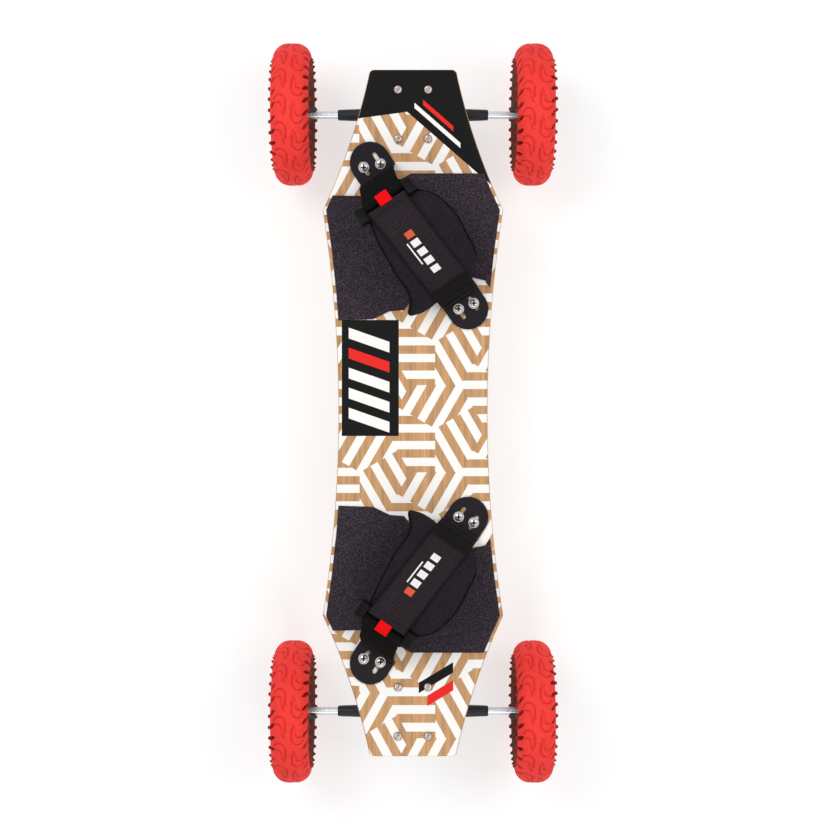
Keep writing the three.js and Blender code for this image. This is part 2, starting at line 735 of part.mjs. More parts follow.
// The tyre: a shell that is open at the beads, with two rows of shoulder knobs that are staggered
// by half a pitch and a middle row between them.
function makeTyre() {
  const side = (x, radius) => wheelRing(x, radius, SIDEWALL_SEGMENTS);
  const inside = (x, radius) => wheelRing(x, radius, BEAD_SEGMENTS);
  const shoulderRadius = TYRE_RADIUS - SHOULDER_DROP;
  const rings = [
    inside(-beadInner, beadRadius),
    inside(-beadOuter, beadRadius),
    side(-beadOuter, sidewallLow),
    side(-tyreHalf, TYRE_WIDEST_RADIUS),
    knobRow(-tyreHalf + GAP, shoulderRadius, SHOULDER_DEPTH, -TREAD_STAGGER_SHARE),
    knobRow(-CROWN_HALF_WIDTH, TYRE_RADIUS, TREAD_DEPTH, 0),
    knobRow(CROWN_HALF_WIDTH, TYRE_RADIUS, TREAD_DEPTH, 0),
    knobRow(tyreHalf - GAP, shoulderRadius, SHOULDER_DEPTH, TREAD_STAGGER_SHARE),
    side(tyreHalf, TYRE_WIDEST_RADIUS),
    side(beadOuter, sidewallLow),
    inside(beadOuter, beadRadius),
    inside(beadInner, beadRadius),
    inside(cavityHalf, cavitySides[0]),
    inside(cavityHalf, cavitySides[1]),
    inside(0, cavityTop),
    inside(-cavityHalf, cavitySides[1]),
    inside(-cavityHalf, cavitySides[0]),
  ];
  return ringSurface(rings, true);
}

// The inner tube fills the tyre, and its bent valve comes through the inner half of the rim.
function makeInnerTube() {
  const slack = 2 * GAP;
  const inside = (x, radius) => wheelRing(x, radius, BEAD_SEGMENTS);
  const rings = [
    inside(-beadInner + slack, beadRadius + slack),
    inside(beadInner - slack, beadRadius + slack),
    inside(cavityHalf - slack, cavitySides[0]),
    inside(cavityHalf - slack, cavitySides[1] - slack),
    inside(0, cavityTop - slack),
    inside(-cavityHalf + slack, cavitySides[1] - slack),
    inside(-cavityHalf + slack, cavitySides[0]),
  ];
  const at = (x, r) => new THREE.Vector3(x, 0, r);
  const bend = valveBend();
  const root = rod(at(bend.x, beadRadius + VALVE_CAP_RADIUS), at(bend.x, bend.r), VALVE_RADIUS, BOLT_SEGMENTS);
  const elbow = new THREE.SphereGeometry(VALVE_RADIUS, BOLT_SEGMENTS, BALL_BANDS).translate(bend.x, 0, bend.r);
  const capRoot = VALVE_CAP_LENGTH - VALVE_REACH;
  const stem = rod(at(bend.x, bend.r), at(capRoot, bend.r), VALVE_RADIUS, BOLT_SEGMENTS);
  const cap = rod(at(capRoot, bend.r), at(-VALVE_REACH, bend.r), VALVE_CAP_RADIUS, BOLT_SEGMENTS);
  const tube = solid(ringSurface(rings, true));
  return geometryOf(unionOf([tube, solid(root), solid(elbow), solid(stem), solid(cap)]));
}

// Where the valve turns from the rim's barrel to its side.
function valveBend() {
  return {
    x: -RIM_WEB_THICKNESS - VALVE_RADIUS - 2 * GAP,
    r: RIM_BARREL_RADIUS - RIM_WALL - VALVE_CAP_RADIUS - 2 * GAP,
  };
}

// One half of the split rim, on the +x side: barrel and flange, a web with windows between its
// spokes, and the hub that holds a bearing.
function makeRimHalf(takesValve) {
  const inside = RIM_BARREL_RADIUS - RIM_WALL;
  const flangeFoot = RIM_WIDTH / 2 - RIM_FLANGE_THICKNESS;
  const seatFoot = hubHalf - BEARING_WIDTH - GAP;
  const lip = BEARING_RADIUS - HUB_LIP;
  const outline = [
    [GAP / 2, lip],
    [GAP / 2, RIM_BARREL_RADIUS],
    [flangeFoot, RIM_BARREL_RADIUS],
    [flangeFoot, RIM_BARREL_RADIUS + RIM_FLANGE_HEIGHT],
    [RIM_WIDTH / 2, RIM_BARREL_RADIUS + RIM_FLANGE_HEIGHT],
    [RIM_WIDTH / 2, inside],
    [RIM_WEB_THICKNESS, inside],
    [RIM_WEB_THICKNESS, HUB_RADIUS],
    [hubHalf, HUB_RADIUS],
    [hubHalf, bearingSeat],
    [seatFoot, bearingSeat],
    [seatFoot, lip],
  ];
  let half = solid(turned(outline, RIM_SEGMENTS));
  for (let spoke = 0; spoke < SPOKES; spoke++)
    half = half.subtract(solid(rimWindow((spoke / SPOKES) * 2 * Math.PI, inside)));
  if (takesValve) {
    const x = -valveBend().x;
    const hole = rod(
      new THREE.Vector3(x, 0, inside - OVERRUN),
      new THREE.Vector3(x, 0, RIM_BARREL_RADIUS + OVERRUN),
      VALVE_RADIUS + GAP,
      BOLT_SEGMENTS,
    );
    half = half.subtract(solid(hole));
  }
  return geometryOf(half);
}

// A window between two spokes, with flanks that run along them.
function rimWindow(angle, barrel) {
  const near = HUB_RADIUS + SPOKE_ROOT;
  const far = (barrel - SPOKE_ROOT) * Math.cos(Math.PI / SPOKES / 2);
  const flank = (r) => r * Math.tan(Math.PI / SPOKES) - SPOKE_WIDTH / 2 / Math.cos(Math.PI / SPOKES);
  const corners = [
    [-flank(near), near],
    [flank(near), near],
    [flank(far), far],
    [-flank(far), far],
  ];
  const prism = upright(corners, -OVERRUN, RIM_WEB_THICKNESS + OVERRUN);
  return prism.rotateX(Math.PI / 2).rotateZ(-Math.PI / 2).rotateX(angle);
}

function makeBearing() {
  const outline = [
    [-BEARING_WIDTH / 2, bearingBore],
    [-BEARING_WIDTH / 2, BEARING_RADIUS],
    [BEARING_WIDTH / 2, BEARING_RADIUS],
    [BEARING_WIDTH / 2, bearingBore],
  ];
  return turned(outline, BEARING_SEGMENTS);
}

// Bindings

const outerLip = ANCHOR_LIP_FROM_SCREWS + ANCHOR_THICKNESS + GAP;
const innerLip = ANCHOR_SPACING - outerLip;
const archTop = outerLip + ARCH_TOP_FROM_OUTER_LIP;

// A point of the arch: share 0 at the outer anchor and 1 at the inner one, moved inward from the
// webbing's outer face.
function archPoint(share, t, inward) {
  const turn = Math.PI * share;
  const span = (turn < Math.PI / 2 ? archTop - outerLip : innerLip - archTop) - inward;
  const power = 2 / ARCH_FULLNESS;
  const along = Math.abs(Math.cos(turn)) ** power * Math.sign(Math.cos(turn));
  const up = Math.sin(turn) ** power;
  return new THREE.Vector3(archTop - span * along, t, (ARCH_HEIGHT - inward) * up);
}

// The strap runs askew, and is furthest off the anchors' line at the ring.
function skewAt(share) {
  const fromEnd = share < RING_ARCH_SHARE ? share / shareAtBar(-1) : (1 - share) / (1 - shareAtBar(1));
  return -STRAP_SKEW * Math.min(1, fromEnd);
}

function webbing(from, to, steps, startWidth, endWidth) {
  const rings = Array.from({ length: steps + 1 }, (_, i) => {
    const share = from + ((to - from) * i) / steps;
    const half = THREE.MathUtils.lerp(startWidth, endWidth, i / steps) / 2;
    const middle = skewAt(share);
    return [
      archPoint(share, middle - half, 0),
      archPoint(share, middle + half, 0),
      archPoint(share, middle + half, WEBBING_THICKNESS),
      archPoint(share, middle - half, WEBBING_THICKNESS),
    ];
  });
  return solid(ringSurface(rings, false));
}

// The ring's own frame: middle point, direction along the arch and direction out of it.
function ringFrame() {
  const eyeRadius = RING_BAR_RADIUS + GAP + EYE_WALL;
  const lift = eyeRadius - WEBBING_THICKNESS;
  const step = GAP / ARCH_HEIGHT;
  const middle = archPoint(RING_ARCH_SHARE, skewAt(RING_ARCH_SHARE), -lift);
  const next = archPoint(RING_ARCH_SHARE + step, middle.y, -lift);
  const along = next.sub(middle).normalize();
  const out = along.clone().cross(new THREE.Vector3(0, 1, 0)).negate();
  if (out.z < 0) out.negate();
  return { middle, along, out, eyeRadius };
}

function ringBar(side, radius, halfLength) {
  const { middle, along } = ringFrame();
  const centre = middle.clone().addScaledVector(along, (side * RING_BAR_SPACING) / 2);
  const from = centre.clone().setY(centre.y - halfLength);
  const to = centre.clone().setY(centre.y + halfLength);
  return solid(rod(from, to, radius, HEAD_SEGMENTS));
}

// A webbing's end is sewn round one bar of the ring.
function sewnRound(side, band, width) {
  const { eyeRadius } = ringFrame();
  const eye = ringBar(side, eyeRadius, width / 2);
  const room = ringBar(side, boreRadius(RING_BAR_RADIUS, HEAD_SEGMENTS), RING_OUTER_WIDTH);
  return band.add(eye).subtract(room);
}

function shareAtBar(side) {
  const step = RING_BAR_SPACING / 2 / (Math.PI * ARCH_HEIGHT);
  return RING_ARCH_SHARE + side * step;
}

function makeLowerWebbing() {
  const band = webbing(
    LOWER_WEBBING_START_SHARE,
    shareAtBar(-1),
    LOWER_WEBBING_STEPS,
    LOWER_WEBBING_WIDTH,
    WEBBING_WIDTH,
  );
  const { middle, along, out, eyeRadius } = ringFrame();
  const tab = new THREE.BoxGeometry(PULL_TAB_SIZE, PULL_TAB_SIZE, PULL_TAB_THICKNESS);
  const turn = new THREE.Matrix4().makeBasis(along, new THREE.Vector3(0, 1, 0), out);
  const place = middle
    .clone()
    .addScaledVector(along, -PULL_TAB_SIZE / 4)
    .addScaledVector(out, eyeRadius + PULL_TAB_THICKNESS / 2 - GAP);
  tab.applyMatrix4(turn).translate(...place.toArray());
  return geometryOf(sewnRound(-1, band, WEBBING_WIDTH).add(solid(tab)));
}

function makeStrap() {
  const band = webbing(shareAtBar(1), STRAP_END_SHARE, STRAP_STEPS, WEBBING_WIDTH, WEBBING_WIDTH);
  return geometryOf(sewnRound(1, band, WEBBING_WIDTH));
}

function makeRing() {
  const { middle, along, out } = ringFrame();
  const half = RING_OUTER_WIDTH / 2;
  const lugStart = WEBBING_WIDTH / 2 + 3 * GAP;
  const lugLength = RING_BAR_SPACING + 2 * RING_BAR_RADIUS + GAP;
  const bars = [-1, 1].map((side) => ringBar(side, RING_BAR_RADIUS, half - OVERRUN));
  const lugs = [-1, 1].map((side) => {
    const lug = new THREE.BoxGeometry(lugLength, half - lugStart, RING_LUG_THICKNESS);
    const turn = new THREE.Matrix4().makeBasis(along, new THREE.Vector3(0, 1, 0), out);
    const y = middle.y + (side * (half + lugStart)) / 2;
    return solid(lug.applyMatrix4(turn).translate(middle.x, y, middle.z));
  });
  return geometryOf(unionOf([...bars, ...lugs]));
}

function edgeAt(share, column) {
  const next = PAD_EDGE_SHARES.findIndex((row) => row[0] >= share);
  if (next <= 0) return PAD_EDGE_SHARES.at(next)[column] * WEBBING_WIDTH;
  const [before, after] = [PAD_EDGE_SHARES[next - 1], PAD_EDGE_SHARES[next]];
  const fraction = (share - before[0]) / (after[0] - before[0]);
  return THREE.MathUtils.lerp(before[column], after[column], fraction) * WEBBING_WIDTH;
}

// The pad under the strap: pressed flat where the webbing lies on it, and full beside it.
function makePad() {
  const first = PAD_EDGE_SHARES[0][0];
  const last = PAD_EDGE_SHARES.at(-1)[0];
  const pressed = WEBBING_THICKNESS + GAP;
  const rings = Array.from({ length: PAD_SECTIONS }, (_, i) => {
    const share = Math.min(last, first + ((last - first) * i) / (PAD_SECTIONS - 1));
    const [left, right] = [edgeAt(share, 1), edgeAt(share, 2)];
    const outer = PAD_OUTER_SHARES.map((f) => {
      const t = THREE.MathUtils.lerp(left, right, f);
      const isEdge = f === 0 || f === 1;
      const drawnIn = (PAD_THICKNESS - PAD_EDGE_THICKNESS) / 2;
      return archPoint(share, t, pressed + (isEdge ? drawnIn : 0));
    });
    const inner = PAD_INNER_SHARES.map((f) =>
      archPoint(share, THREE.MathUtils.lerp(left, right, f), pressed + PAD_THICKNESS),
    );
    return [...outer, ...inner];
  });
  return ringSurface(rings, false);
}

const bindingStart = new THREE.Vector3(-ANCHOR_SPACING / 2, 0, 0)
  .applyAxisAngle(new THREE.Vector3(0, 0, 1), -BINDING_ANGLE)
  .add(new THREE.Vector3(BINDING_MIDDLE_X, halfDeck - BINDING_MIDDLE_FROM_TIP, 0));
const bindingMatrix = new THREE.Matrix4().makeRotationZ(-BINDING_ANGLE).setPosition(bindingStart);

function onDeckPlan(s, t) {
  return new THREE.Vector3(s, t, 0).applyMatrix4(bindingMatrix);
}

// Each anchor's two screws stand at different places along their slots.
function screwPlaces(isOuter) {
  const base = isOuter ? 0 : ANCHOR_SPACING;
  const stagger = isOuter ? OUTER_SCREW_STAGGER : INNER_SCREW_STAGGER;
  return [-1, 1].map((side) => [base + side * stagger, (side * ANCHOR_SCREW_SPACING) / 2]);
}

// A place on the deck by its distance from an anchor's screws towards the other anchor. The outer
// anchor sits at s = 0.
function fromAnchor(isOuter, along, t) {
  const p = isOuter ? onDeckPlan(along, t) : onDeckPlan(ANCHOR_SPACING - along, t);
  return [p.x, p.y];
}

// An anchor's outline on the deck, with its round tail, and wider by a margin all round.
function anchorOutline(isOuter, margin) {
  const half = ANCHOR_WIDTH / 2 + margin;
  const lipEnd = ANCHOR_LIP_FROM_SCREWS + ANCHOR_THICKNESS + margin;
  const tail = [];
  for (let i = 0; i <= ANCHOR_TAIL_STEPS; i++) {
    const angle = Math.PI / 2 + (i / ANCHOR_TAIL_STEPS) * Math.PI;
    const along = ANCHOR_WIDTH / 2 - ANCHOR_TAIL + half * Math.cos(angle);
    tail.push(fromAnchor(isOuter, along, half * Math.sin(angle)));
  }
  return [...tail, fromAnchor(isOuter, lipEnd, -half), fromAnchor(isOuter, lipEnd, half)];
}

// One anchor: a plate that follows the deck, with two slots and an upturned lip, and the two
// screws with washers that hold it.
function makeAnchor(isOuter) {
  const plan = (along, t) => fromAnchor(isOuter, along, t);
  const half = ANCHOR_WIDTH / 2;
  const lipEnd = ANCHOR_LIP_FROM_SCREWS + ANCHOR_THICKNESS;
  const lipOutline = [
    plan(ANCHOR_LIP_FROM_SCREWS, -half),
    plan(lipEnd, -half),
    plan(lipEnd, half),
    plan(ANCHOR_LIP_FROM_SCREWS, half),
  ];
  const foot = -DECK_THICKNESS;
  const thin = deckSheet(GAP, GAP + ANCHOR_THICKNESS, -ANCHOR_WIDTH, 0);
  const tall = deckSheet(GAP, ANCHOR_LIP_HEIGHT, -ANCHOR_WIDTH, 0);
  let anchor = thin
    .intersect(solid(upright(anchorOutline(isOuter, 0), foot, ARCH_HEIGHT)))
    .add(tall.intersect(solid(upright(lipOutline, foot, ARCH_HEIGHT))));
  for (const [s, t] of screwPlaces(isOuter)) {
    const wide = ANCHOR_SLOT_WIDTH / 2;
    const slot = [
      plan(-ANCHOR_SLOT_BEHIND, t - wide),
      plan(ANCHOR_SLOT_AHEAD, t - wide),
      plan(ANCHOR_SLOT_AHEAD, t + wide),
      plan(-ANCHOR_SLOT_BEHIND, t + wide),
    ];
    anchor = anchor.subtract(solid(upright(slot, foot, ARCH_HEIGHT)));
    const p = onDeckPlan(s, t);
    const at = (h) => overDeck(p.x, p.y, h);
    const seat = GAP + ANCHOR_THICKNESS;
    const head = rod(
      at(seat - GAP),
      at(seat + SCREW_HEAD_HEIGHT),
      SCREW_HEAD_RADIUS,
      HEAD_SEGMENTS,
      SCREW_HEAD_CROWN,
    );
    const shank = rod(at(seat), at(-SCREW_TIP_DEPTH), SCREW_RADIUS, BOLT_SEGMENTS);
    anchor = anchor.add(solid(head)).add(solid(shank));
  }
  return geometryOf(anchor);
}

// The deck and the grip sheets

function makeDeck() {
  let deck = deckSheet(-DECK_THICKNESS, 0, 0, DECK_EDGE);
  for (const end of [1, -1]) {
    for (const [x, y] of boltPlaces()) {
      const top = new THREE.Vector3(x, y, DECK_THICKNESS + OVERRUN).applyMatrix4(truckMatrix(end));
      const bottom = new THREE.Vector3(x, y, -OVERRUN).applyMatrix4(truckMatrix(end));
      const radius = boreRadius(BOLT_RADIUS, BOLT_SEGMENTS);
      deck = deck.subtract(solid(rod(top, bottom, radius, BOLT_SEGMENTS)));
    }
    for (const [s, t] of [...screwPlaces(true), ...screwPlaces(false)]) {
      const p = onDeckPlan(s, t);
      const top = overDeck(p.x, end * p.y, OVERRUN);
      const bottom = overDeck(p.x, end * p.y, -DECK_THICKNESS - OVERRUN);
      const radius = boreRadius(SCREW_RADIUS, BOLT_SEGMENTS);
      deck = deck.subtract(solid(rod(top, bottom, radius, BOLT_SEGMENTS)));
    }
  }
  return geometryOf(deck);
}

function makeGrip(end) {
  const outline = [...GRIP_NOSE_SIDE_SHARES, ...GRIP_WAIST_SIDE_SHARES].map(([x, y]) => [
    x * (DECK_SHOULDER / 2),
    end * y * halfDeck,
  ]);
  if (end < 0) outline.reverse();
  const zone = (points) => solid(upright(points, -DECK_THICKNESS, ARCH_HEIGHT));
  const anchors = [true, false].map((isOuter) =>
    zone(anchorOutline(isOuter, GRIP_CLEAR_OF_ANCHOR)).scale([1, end, 1]),
  );
  const sheet = deckSheet(GAP, GAP + GRIP_THICKNESS, GRIP_INSET, 0).intersect(zone(outline));
  return geometryOf(anchors.reduce((rest, room) => rest.subtract(room), sheet));
}

// The assembly

function piece(name, geometry, finish) {
  const mesh = new THREE.Mesh(geometry, FINISH[finish]);
  mesh.name = name;
  return mesh;
}

function assemble() {
  const board = new THREE.Group();
  const deck = new THREE.Group();
  deck.position.z = deckTopHeight;
  board.add(deck);
  deck.add(piece("deck", makeDeck(), "wood"));
  deck.add(piece("front_grip", makeGrip(1), "grip"));
  deck.add(piece("rear_grip", makeGrip(-1), "grip"));
  for (const [name, end] of [
    ["front", 1],
    ["rear", -1],
  ]) {
    deck.add(truck(name, end));
    deck.add(binding(name, end));
  }
  addWheels(board);
  return board;
}

const truckPieces = {
  baseplate: [makeBaseplate(), "black_metal"],
  kingpin: [makeKingpin(), "steel"],
  kingpin_nut: [makeKingpinNut(), "steel"],
  pivot_cup: [makePivotCup(), "bushing"],
  boardside_bushing: [makeBushing(boardsideTop, BOARDSIDE_BUSHING_HEIGHT), "bushing"],
  roadside_bushing: [makeBushing(roadsideTop, ROADSIDE_BUSHING_HEIGHT), "bushing"],
  hanger: [makeHanger(), "black_metal"],
  axle: [makeAxle(), "steel"],
};

function truck(name, end) {
  const place = new THREE.Group();
  place.rotation.z = end > 0 ? 0 : Math.PI;
  const frame = new THREE.Group();
  frame.position.copy(truckOrigin);
  frame.rotation.x = TIP_ANGLE;
  place.add(frame);
  for (const [part, [geometry, finish]] of Object.entries(truckPieces))
    frame.add(piece(name + "_" + part, geometry, finish));
  for (const side of [1, -1]) {
    const where = side * end > 0 ? "right" : "left";
    frame.add(piece(name + "_" + where + "_axle_nut", makeAxleNut(side), "steel"));
  }
  return place;
}

const bindingPieces = {
  pad: [makePad(), "pad"],
  strap: [makeStrap(), "webbing"],
  lower_webbing: [makeLowerWebbing(), "webbing"],
  strap_ring: [makeRing(), "plastic"],
};

const anchorPieces = {
  outer_anchor: [makeAnchor(true), "plastic"],
  inner_anchor: [makeAnchor(false), "plastic"],
};

// The rear binding mirrors the front one.
function binding(name, end) {
  const mirror = new THREE.Group();
  mirror.scale.y = end;
  const frame = new THREE.Group();
  frame.position.copy(bindingStart);
  frame.rotation.z = -BINDING_ANGLE;
  mirror.add(frame);
  for (const [part, [geometry, finish]] of Object.entries(bindingPieces))
    frame.add(piece(name + "_" + part, geometry, finish));
  for (const [part, [geometry, finish]] of Object.entries(anchorPieces))
    mirror.add(piece(name + "_" + part, geometry, finish));
  return mirror;
}

function addWheels(board) {
  const tyre = makeTyre();
  const innerTube = makeInnerTube();
  const outerHalf = makeRimHalf(false);
  const innerHalf = makeRimHalf(true);
  const bearing = makeBearing();
  for (const [where, side] of [
    ["right", 1],
    ["left", -1],
  ])
    for (const [end, y] of [
      ["front", frontAxle.y],
      ["rear", -frontAxle.y],
    ]) {
      const wheel = new THREE.Group();
      wheel.position.set((side * TRACK) / 2, y, axleHeight);
      wheel.rotation.z = side > 0 ? 0 : Math.PI;
      const name = end + "_" + where + "_";
      wheel.add(piece(name + "tyre", tyre, "tyre"));
      wheel.add(piece(name + "inner_tube", innerTube, "tube"));
      wheel.add(piece(name + "outer_rim", outerHalf, "rim"));
      const inner = piece(name + "inner_rim", innerHalf, "rim");
      inner.scale.x = -1;
      wheel.add(inner);
      for (const [seat, place] of [
        ["outer", hubHalf - BEARING_WIDTH / 2],
        ["inner", BEARING_WIDTH / 2 - hubHalf],
      ]) {
        const race = piece(name + seat + "_bearing", bearing, "steel");
        race.position.x = place;
        wheel.add(race);
      }
      board.add(wheel);
    }
}

export default assemble();
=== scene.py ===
"""A mountainboard: a bamboo deck, two sprung trucks, four air tyres and two foot bindings."""

import math

import bmesh
import bpy
import numpy as np
from mathutils import Matrix, Vector
from mathutils.kdtree import KDTree


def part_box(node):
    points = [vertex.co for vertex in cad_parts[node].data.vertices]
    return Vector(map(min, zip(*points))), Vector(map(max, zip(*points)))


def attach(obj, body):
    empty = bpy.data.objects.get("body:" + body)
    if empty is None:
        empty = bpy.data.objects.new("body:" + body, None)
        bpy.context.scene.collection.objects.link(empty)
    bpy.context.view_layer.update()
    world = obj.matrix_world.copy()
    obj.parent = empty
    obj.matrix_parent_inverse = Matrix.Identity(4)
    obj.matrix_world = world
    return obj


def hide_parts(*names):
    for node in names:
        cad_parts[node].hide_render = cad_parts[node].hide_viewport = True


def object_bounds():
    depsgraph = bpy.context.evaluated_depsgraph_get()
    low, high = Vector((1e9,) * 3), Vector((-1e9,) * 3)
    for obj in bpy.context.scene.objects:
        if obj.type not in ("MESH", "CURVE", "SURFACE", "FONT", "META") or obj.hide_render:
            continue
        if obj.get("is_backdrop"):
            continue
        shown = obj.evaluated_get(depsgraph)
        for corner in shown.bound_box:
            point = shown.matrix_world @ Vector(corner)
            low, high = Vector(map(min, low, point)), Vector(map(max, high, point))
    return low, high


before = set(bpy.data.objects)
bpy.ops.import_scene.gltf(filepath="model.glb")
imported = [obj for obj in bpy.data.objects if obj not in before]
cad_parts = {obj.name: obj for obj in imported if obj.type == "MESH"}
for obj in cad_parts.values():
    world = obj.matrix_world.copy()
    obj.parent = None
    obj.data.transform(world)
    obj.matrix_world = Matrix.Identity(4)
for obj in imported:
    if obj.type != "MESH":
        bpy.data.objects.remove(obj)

cad_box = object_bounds()

# ---- Studio -----------------------------------------------------------------------------------
# The board stands on a white floor, and the camera hangs straight over its middle with the nose
# up. Three large soft lamps and a white room light it.

CAMERA_HEIGHT, CAMERA_LENS = 2.348, 68.5
ROOM_STRENGTH = 0.42
# The place, width and power of each lamp.
SOFT_LAMPS = {
    "key_lamp": ((-1.1, 0.9, 2.2), 1.3, 26.0),
    "side_lamp": ((1.3, 0.3, 2.0), 1.4, 16.5),
    "tail_lamp": ((0.2, -1.7, 1.8), 1.2, 11.5),
}
FLOOR_REACH, FLOOR_GLOW = 7.0, 0.62
# Past the first distance from its middle, the floor turns as white as the room over the second.
FLOOR_NEAR, FLOOR_FADE = 0.8, 1.2

scene = bpy.context.scene
scene.view_settings.view_transform = "Standard"


def add_object(name, data):
    made = bpy.data.objects.new(name, data)
    scene.collection.objects.link(made)
    return made


def add_mesh(name, points, faces, *finishes, edges=()):
    mesh = bpy.data.meshes.new(name)
    mesh.from_pydata([tuple(p) for p in points], edges, faces)
    for finish in finishes:
        mesh.materials.append(finish.material)
    return add_object(name, mesh)


camera_data = bpy.data.cameras.new("camera")
camera_data.lens = CAMERA_LENS
scene.camera = add_object("camera", camera_data)
scene.camera.location = (0, 0, CAMERA_HEIGHT)

for lamp_name, (place, width, power) in SOFT_LAMPS.items():
    lamp_data = bpy.data.lights.new(lamp_name, "AREA")
    lamp_data.size, lamp_data.energy = width, power
    lamp = add_object(lamp_name, lamp_data)
    lamp.location = place
    lamp.rotation_euler = (-Vector(place)).to_track_quat("-Z", "Y").to_euler()


def math_step(operation, is_reversed=False):
    """A method that adds one Math node."""

    def step(self, *others):
        values = (*others, self) if is_reversed else (self, *others)
        return self.tree.node("ShaderNodeMath", {"operation": operation}, dict(enumerate(values)))

    return step


class Socket:
    """A node's output that Python's operators reckon with. A mask is 0 or 1."""

    def __init__(self, tree, output):
        self.tree, self.output = tree, output

    __add__ = __radd__ = math_step("ADD")
    __sub__, __rsub__ = math_step("SUBTRACT"), math_step("SUBTRACT", True)
    __mul__ = __rmul__ = math_step("MULTIPLY")
    __truediv__, __mod__ = math_step("DIVIDE"), math_step("FLOORED_MODULO")
    __lt__, __gt__ = math_step("LESS_THAN"), math_step("GREATER_THAN")
    __and__, __or__ = math_step("MINIMUM"), math_step("MAXIMUM")
    __abs__, floor = math_step("ABSOLUTE"), math_step("FLOOR")
    root, sine = math_step("SQRT"), math_step("SINE")

    def between(self, low, high):
        return (self > low) & (self < high)

    def held(self):
        """The value, held between 0 and 1."""
        return (self | 0.0) & 1.0


class Tree:
    """A node tree. Its one method for nodes takes the type, the settings and the inputs."""

    def __init__(self, tree):
        self.tree = tree

    def node(self, kind, settings=(), inputs=(), output=0):
        node = self.tree.nodes.new(kind)
        for name, value in dict(settings).items():
            setattr(node, name, value)
        for key, value in dict(inputs).items():
            self.feed(node.inputs[key], value)
        return Socket(self, node.outputs[output])

    def feed(self, target, value):
        if isinstance(value, Socket):
            self.tree.links.new(value.output, target)
        else:
            target.default_value = value

    def ray(self, kind):
        """1 for one kind of ray, such as the camera's."""
        return self.node("ShaderNodeLightPath", output=f"Is {kind} Ray")


def ink(red, green, blue):
    """A colour as a picture shows it, from 0 to 255, turned to the linear one that nodes take."""
    parts = [c / 255 for c in (red, green, blue)]
    return (*[c / 12.92 if c <= 0.04045 else ((c + 0.055) / 1.055) ** 2.4 for c in parts], 1.0)


class Finish(Tree):
    """A material with one Principled shader, whose patterns read Object coordinates."""

    def __init__(self, name, roughness=0.5, specular=0.5, metallic=0.0):
        self.material = bpy.data.materials.new(name)
        self.material.use_nodes = True
        super().__init__(self.material.node_tree)
        self.shader = self.tree.nodes["Principled BSDF"]
        self.set(roughness=roughness, specular_ior_level=specular, metallic=metallic)

    def set(self, **values):
        for key, value in values.items():
            label = key.replace("_", " ").title().replace("Ior", "IOR")
            self.feed(self.shader.inputs[label], value)

    def place(self):
        return self.node("ShaderNodeTexCoord", output="Object")

    def parts(self, vector=None):
        """The three numbers of a vector, or of the place."""
        apart = self.tree.nodes.new("ShaderNodeSeparateXYZ")
        self.feed(apart.inputs[0], vector or self.place())
        return [Socket(self, out) for out in apart.outputs]

    def noise(self, scale, detail=2.0, roughness=0.5, vector=None):
        scale = scale if isinstance(scale, tuple) else (scale,) * 3
        inputs = {"Vector": vector or self.place(), "Scale": scale}
        inputs = {"Vector": self.node("ShaderNodeMapping", (), inputs), "Scale": 1.0}
        inputs.update({"Detail": detail, "Roughness": roughness})
        return self.node("ShaderNodeTexNoise", (), inputs)

    def speckle(self, colour, least, spread, scale, detail=2.0, roughness=0.5):
        """Makes the colour lighter and darker by a noise, and gives the noise."""
        noise = self.noise(scale, detail, roughness)
        self.set(base_color=self.shade(colour, noise * spread + least))
        return noise

    def chance(self, number):
        """A number from 0 to 1 that is drawn anew for each whole number."""
        return self.node("ShaderNodeTexWhiteNoise", {"noise_dimensions": "1D"}, {"W": number})

    def mix(self, factor, first, second):
        inputs = {0: factor, 6: first, 7: second}
        return self.node("ShaderNodeMix", {"data_type": "RGBA"}, inputs, 2)

    def shade(self, colour, factor):
        """A colour made lighter or darker by a factor."""
        inputs = {0: colour if isinstance(colour, Socket) else colour[:3], "Scale": factor}
        return self.node("ShaderNodeVectorMath", {"operation": "SCALE"}, inputs)

    def bump(self, height, distance, strength=1.0):
        inputs = {"Height": height, "Distance": distance, "Strength": strength}
        self.set(normal=self.node("ShaderNodeBump", (), inputs))


floor_finish = Finish("studio_floor", 0.9, 0.0)
to_camera = floor_finish.ray("Camera")
x, y, z = floor_finish.parts()
faded = (((x * x + y * y).root() - FLOOR_NEAR) / FLOOR_FADE).held()
glow = faded * (to_camera | floor_finish.ray("Glossy")) * (1 - FLOOR_GLOW) + FLOOR_GLOW
glow = floor_finish.mix(glow, (0, 0, 0, 1), (1, 1, 1, 1))
floor_finish.set(base_color=(0.43, 0.43, 0.43, 1), emission_color=glow, emission_strength=1.0)

# Seen from below, the floor lets the camera look through to the board's underside.
from_below = to_camera * floor_finish.node("ShaderNodeNewGeometry", output="Backfacing")
clear = floor_finish.node("ShaderNodeBsdfTransparent")
surface = Socket(floor_finish, floor_finish.shader.outputs["BSDF"])
either = floor_finish.node("ShaderNodeMixShader", (), {0: from_below, 1: surface, 2: clear})
floor_finish.feed(floor_finish.tree.nodes["Material Output"].inputs["Surface"], either)
corners = [(a * FLOOR_REACH, b * FLOOR_REACH, 0) for a, b in ((-1, -1), (1, -1), (1, 1), (-1, 1))]
add_mesh("studio_floor", corners, [(0, 1, 2, 3)], floor_finish)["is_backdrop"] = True

scene.world = bpy.data.worlds.new("room")
scene.world.use_nodes = True
room = Tree(scene.world.node_tree)
seen = room.ray("Camera") | room.ray("Glossy") | room.ray("Transmission")
background = room.tree.nodes["Background"]
background.inputs["Color"].default_value = (1, 1, 1, 1)
room.feed(background.inputs["Strength"], seen * (1 - ROOM_STRENGTH) + ROOM_STRENGTH)

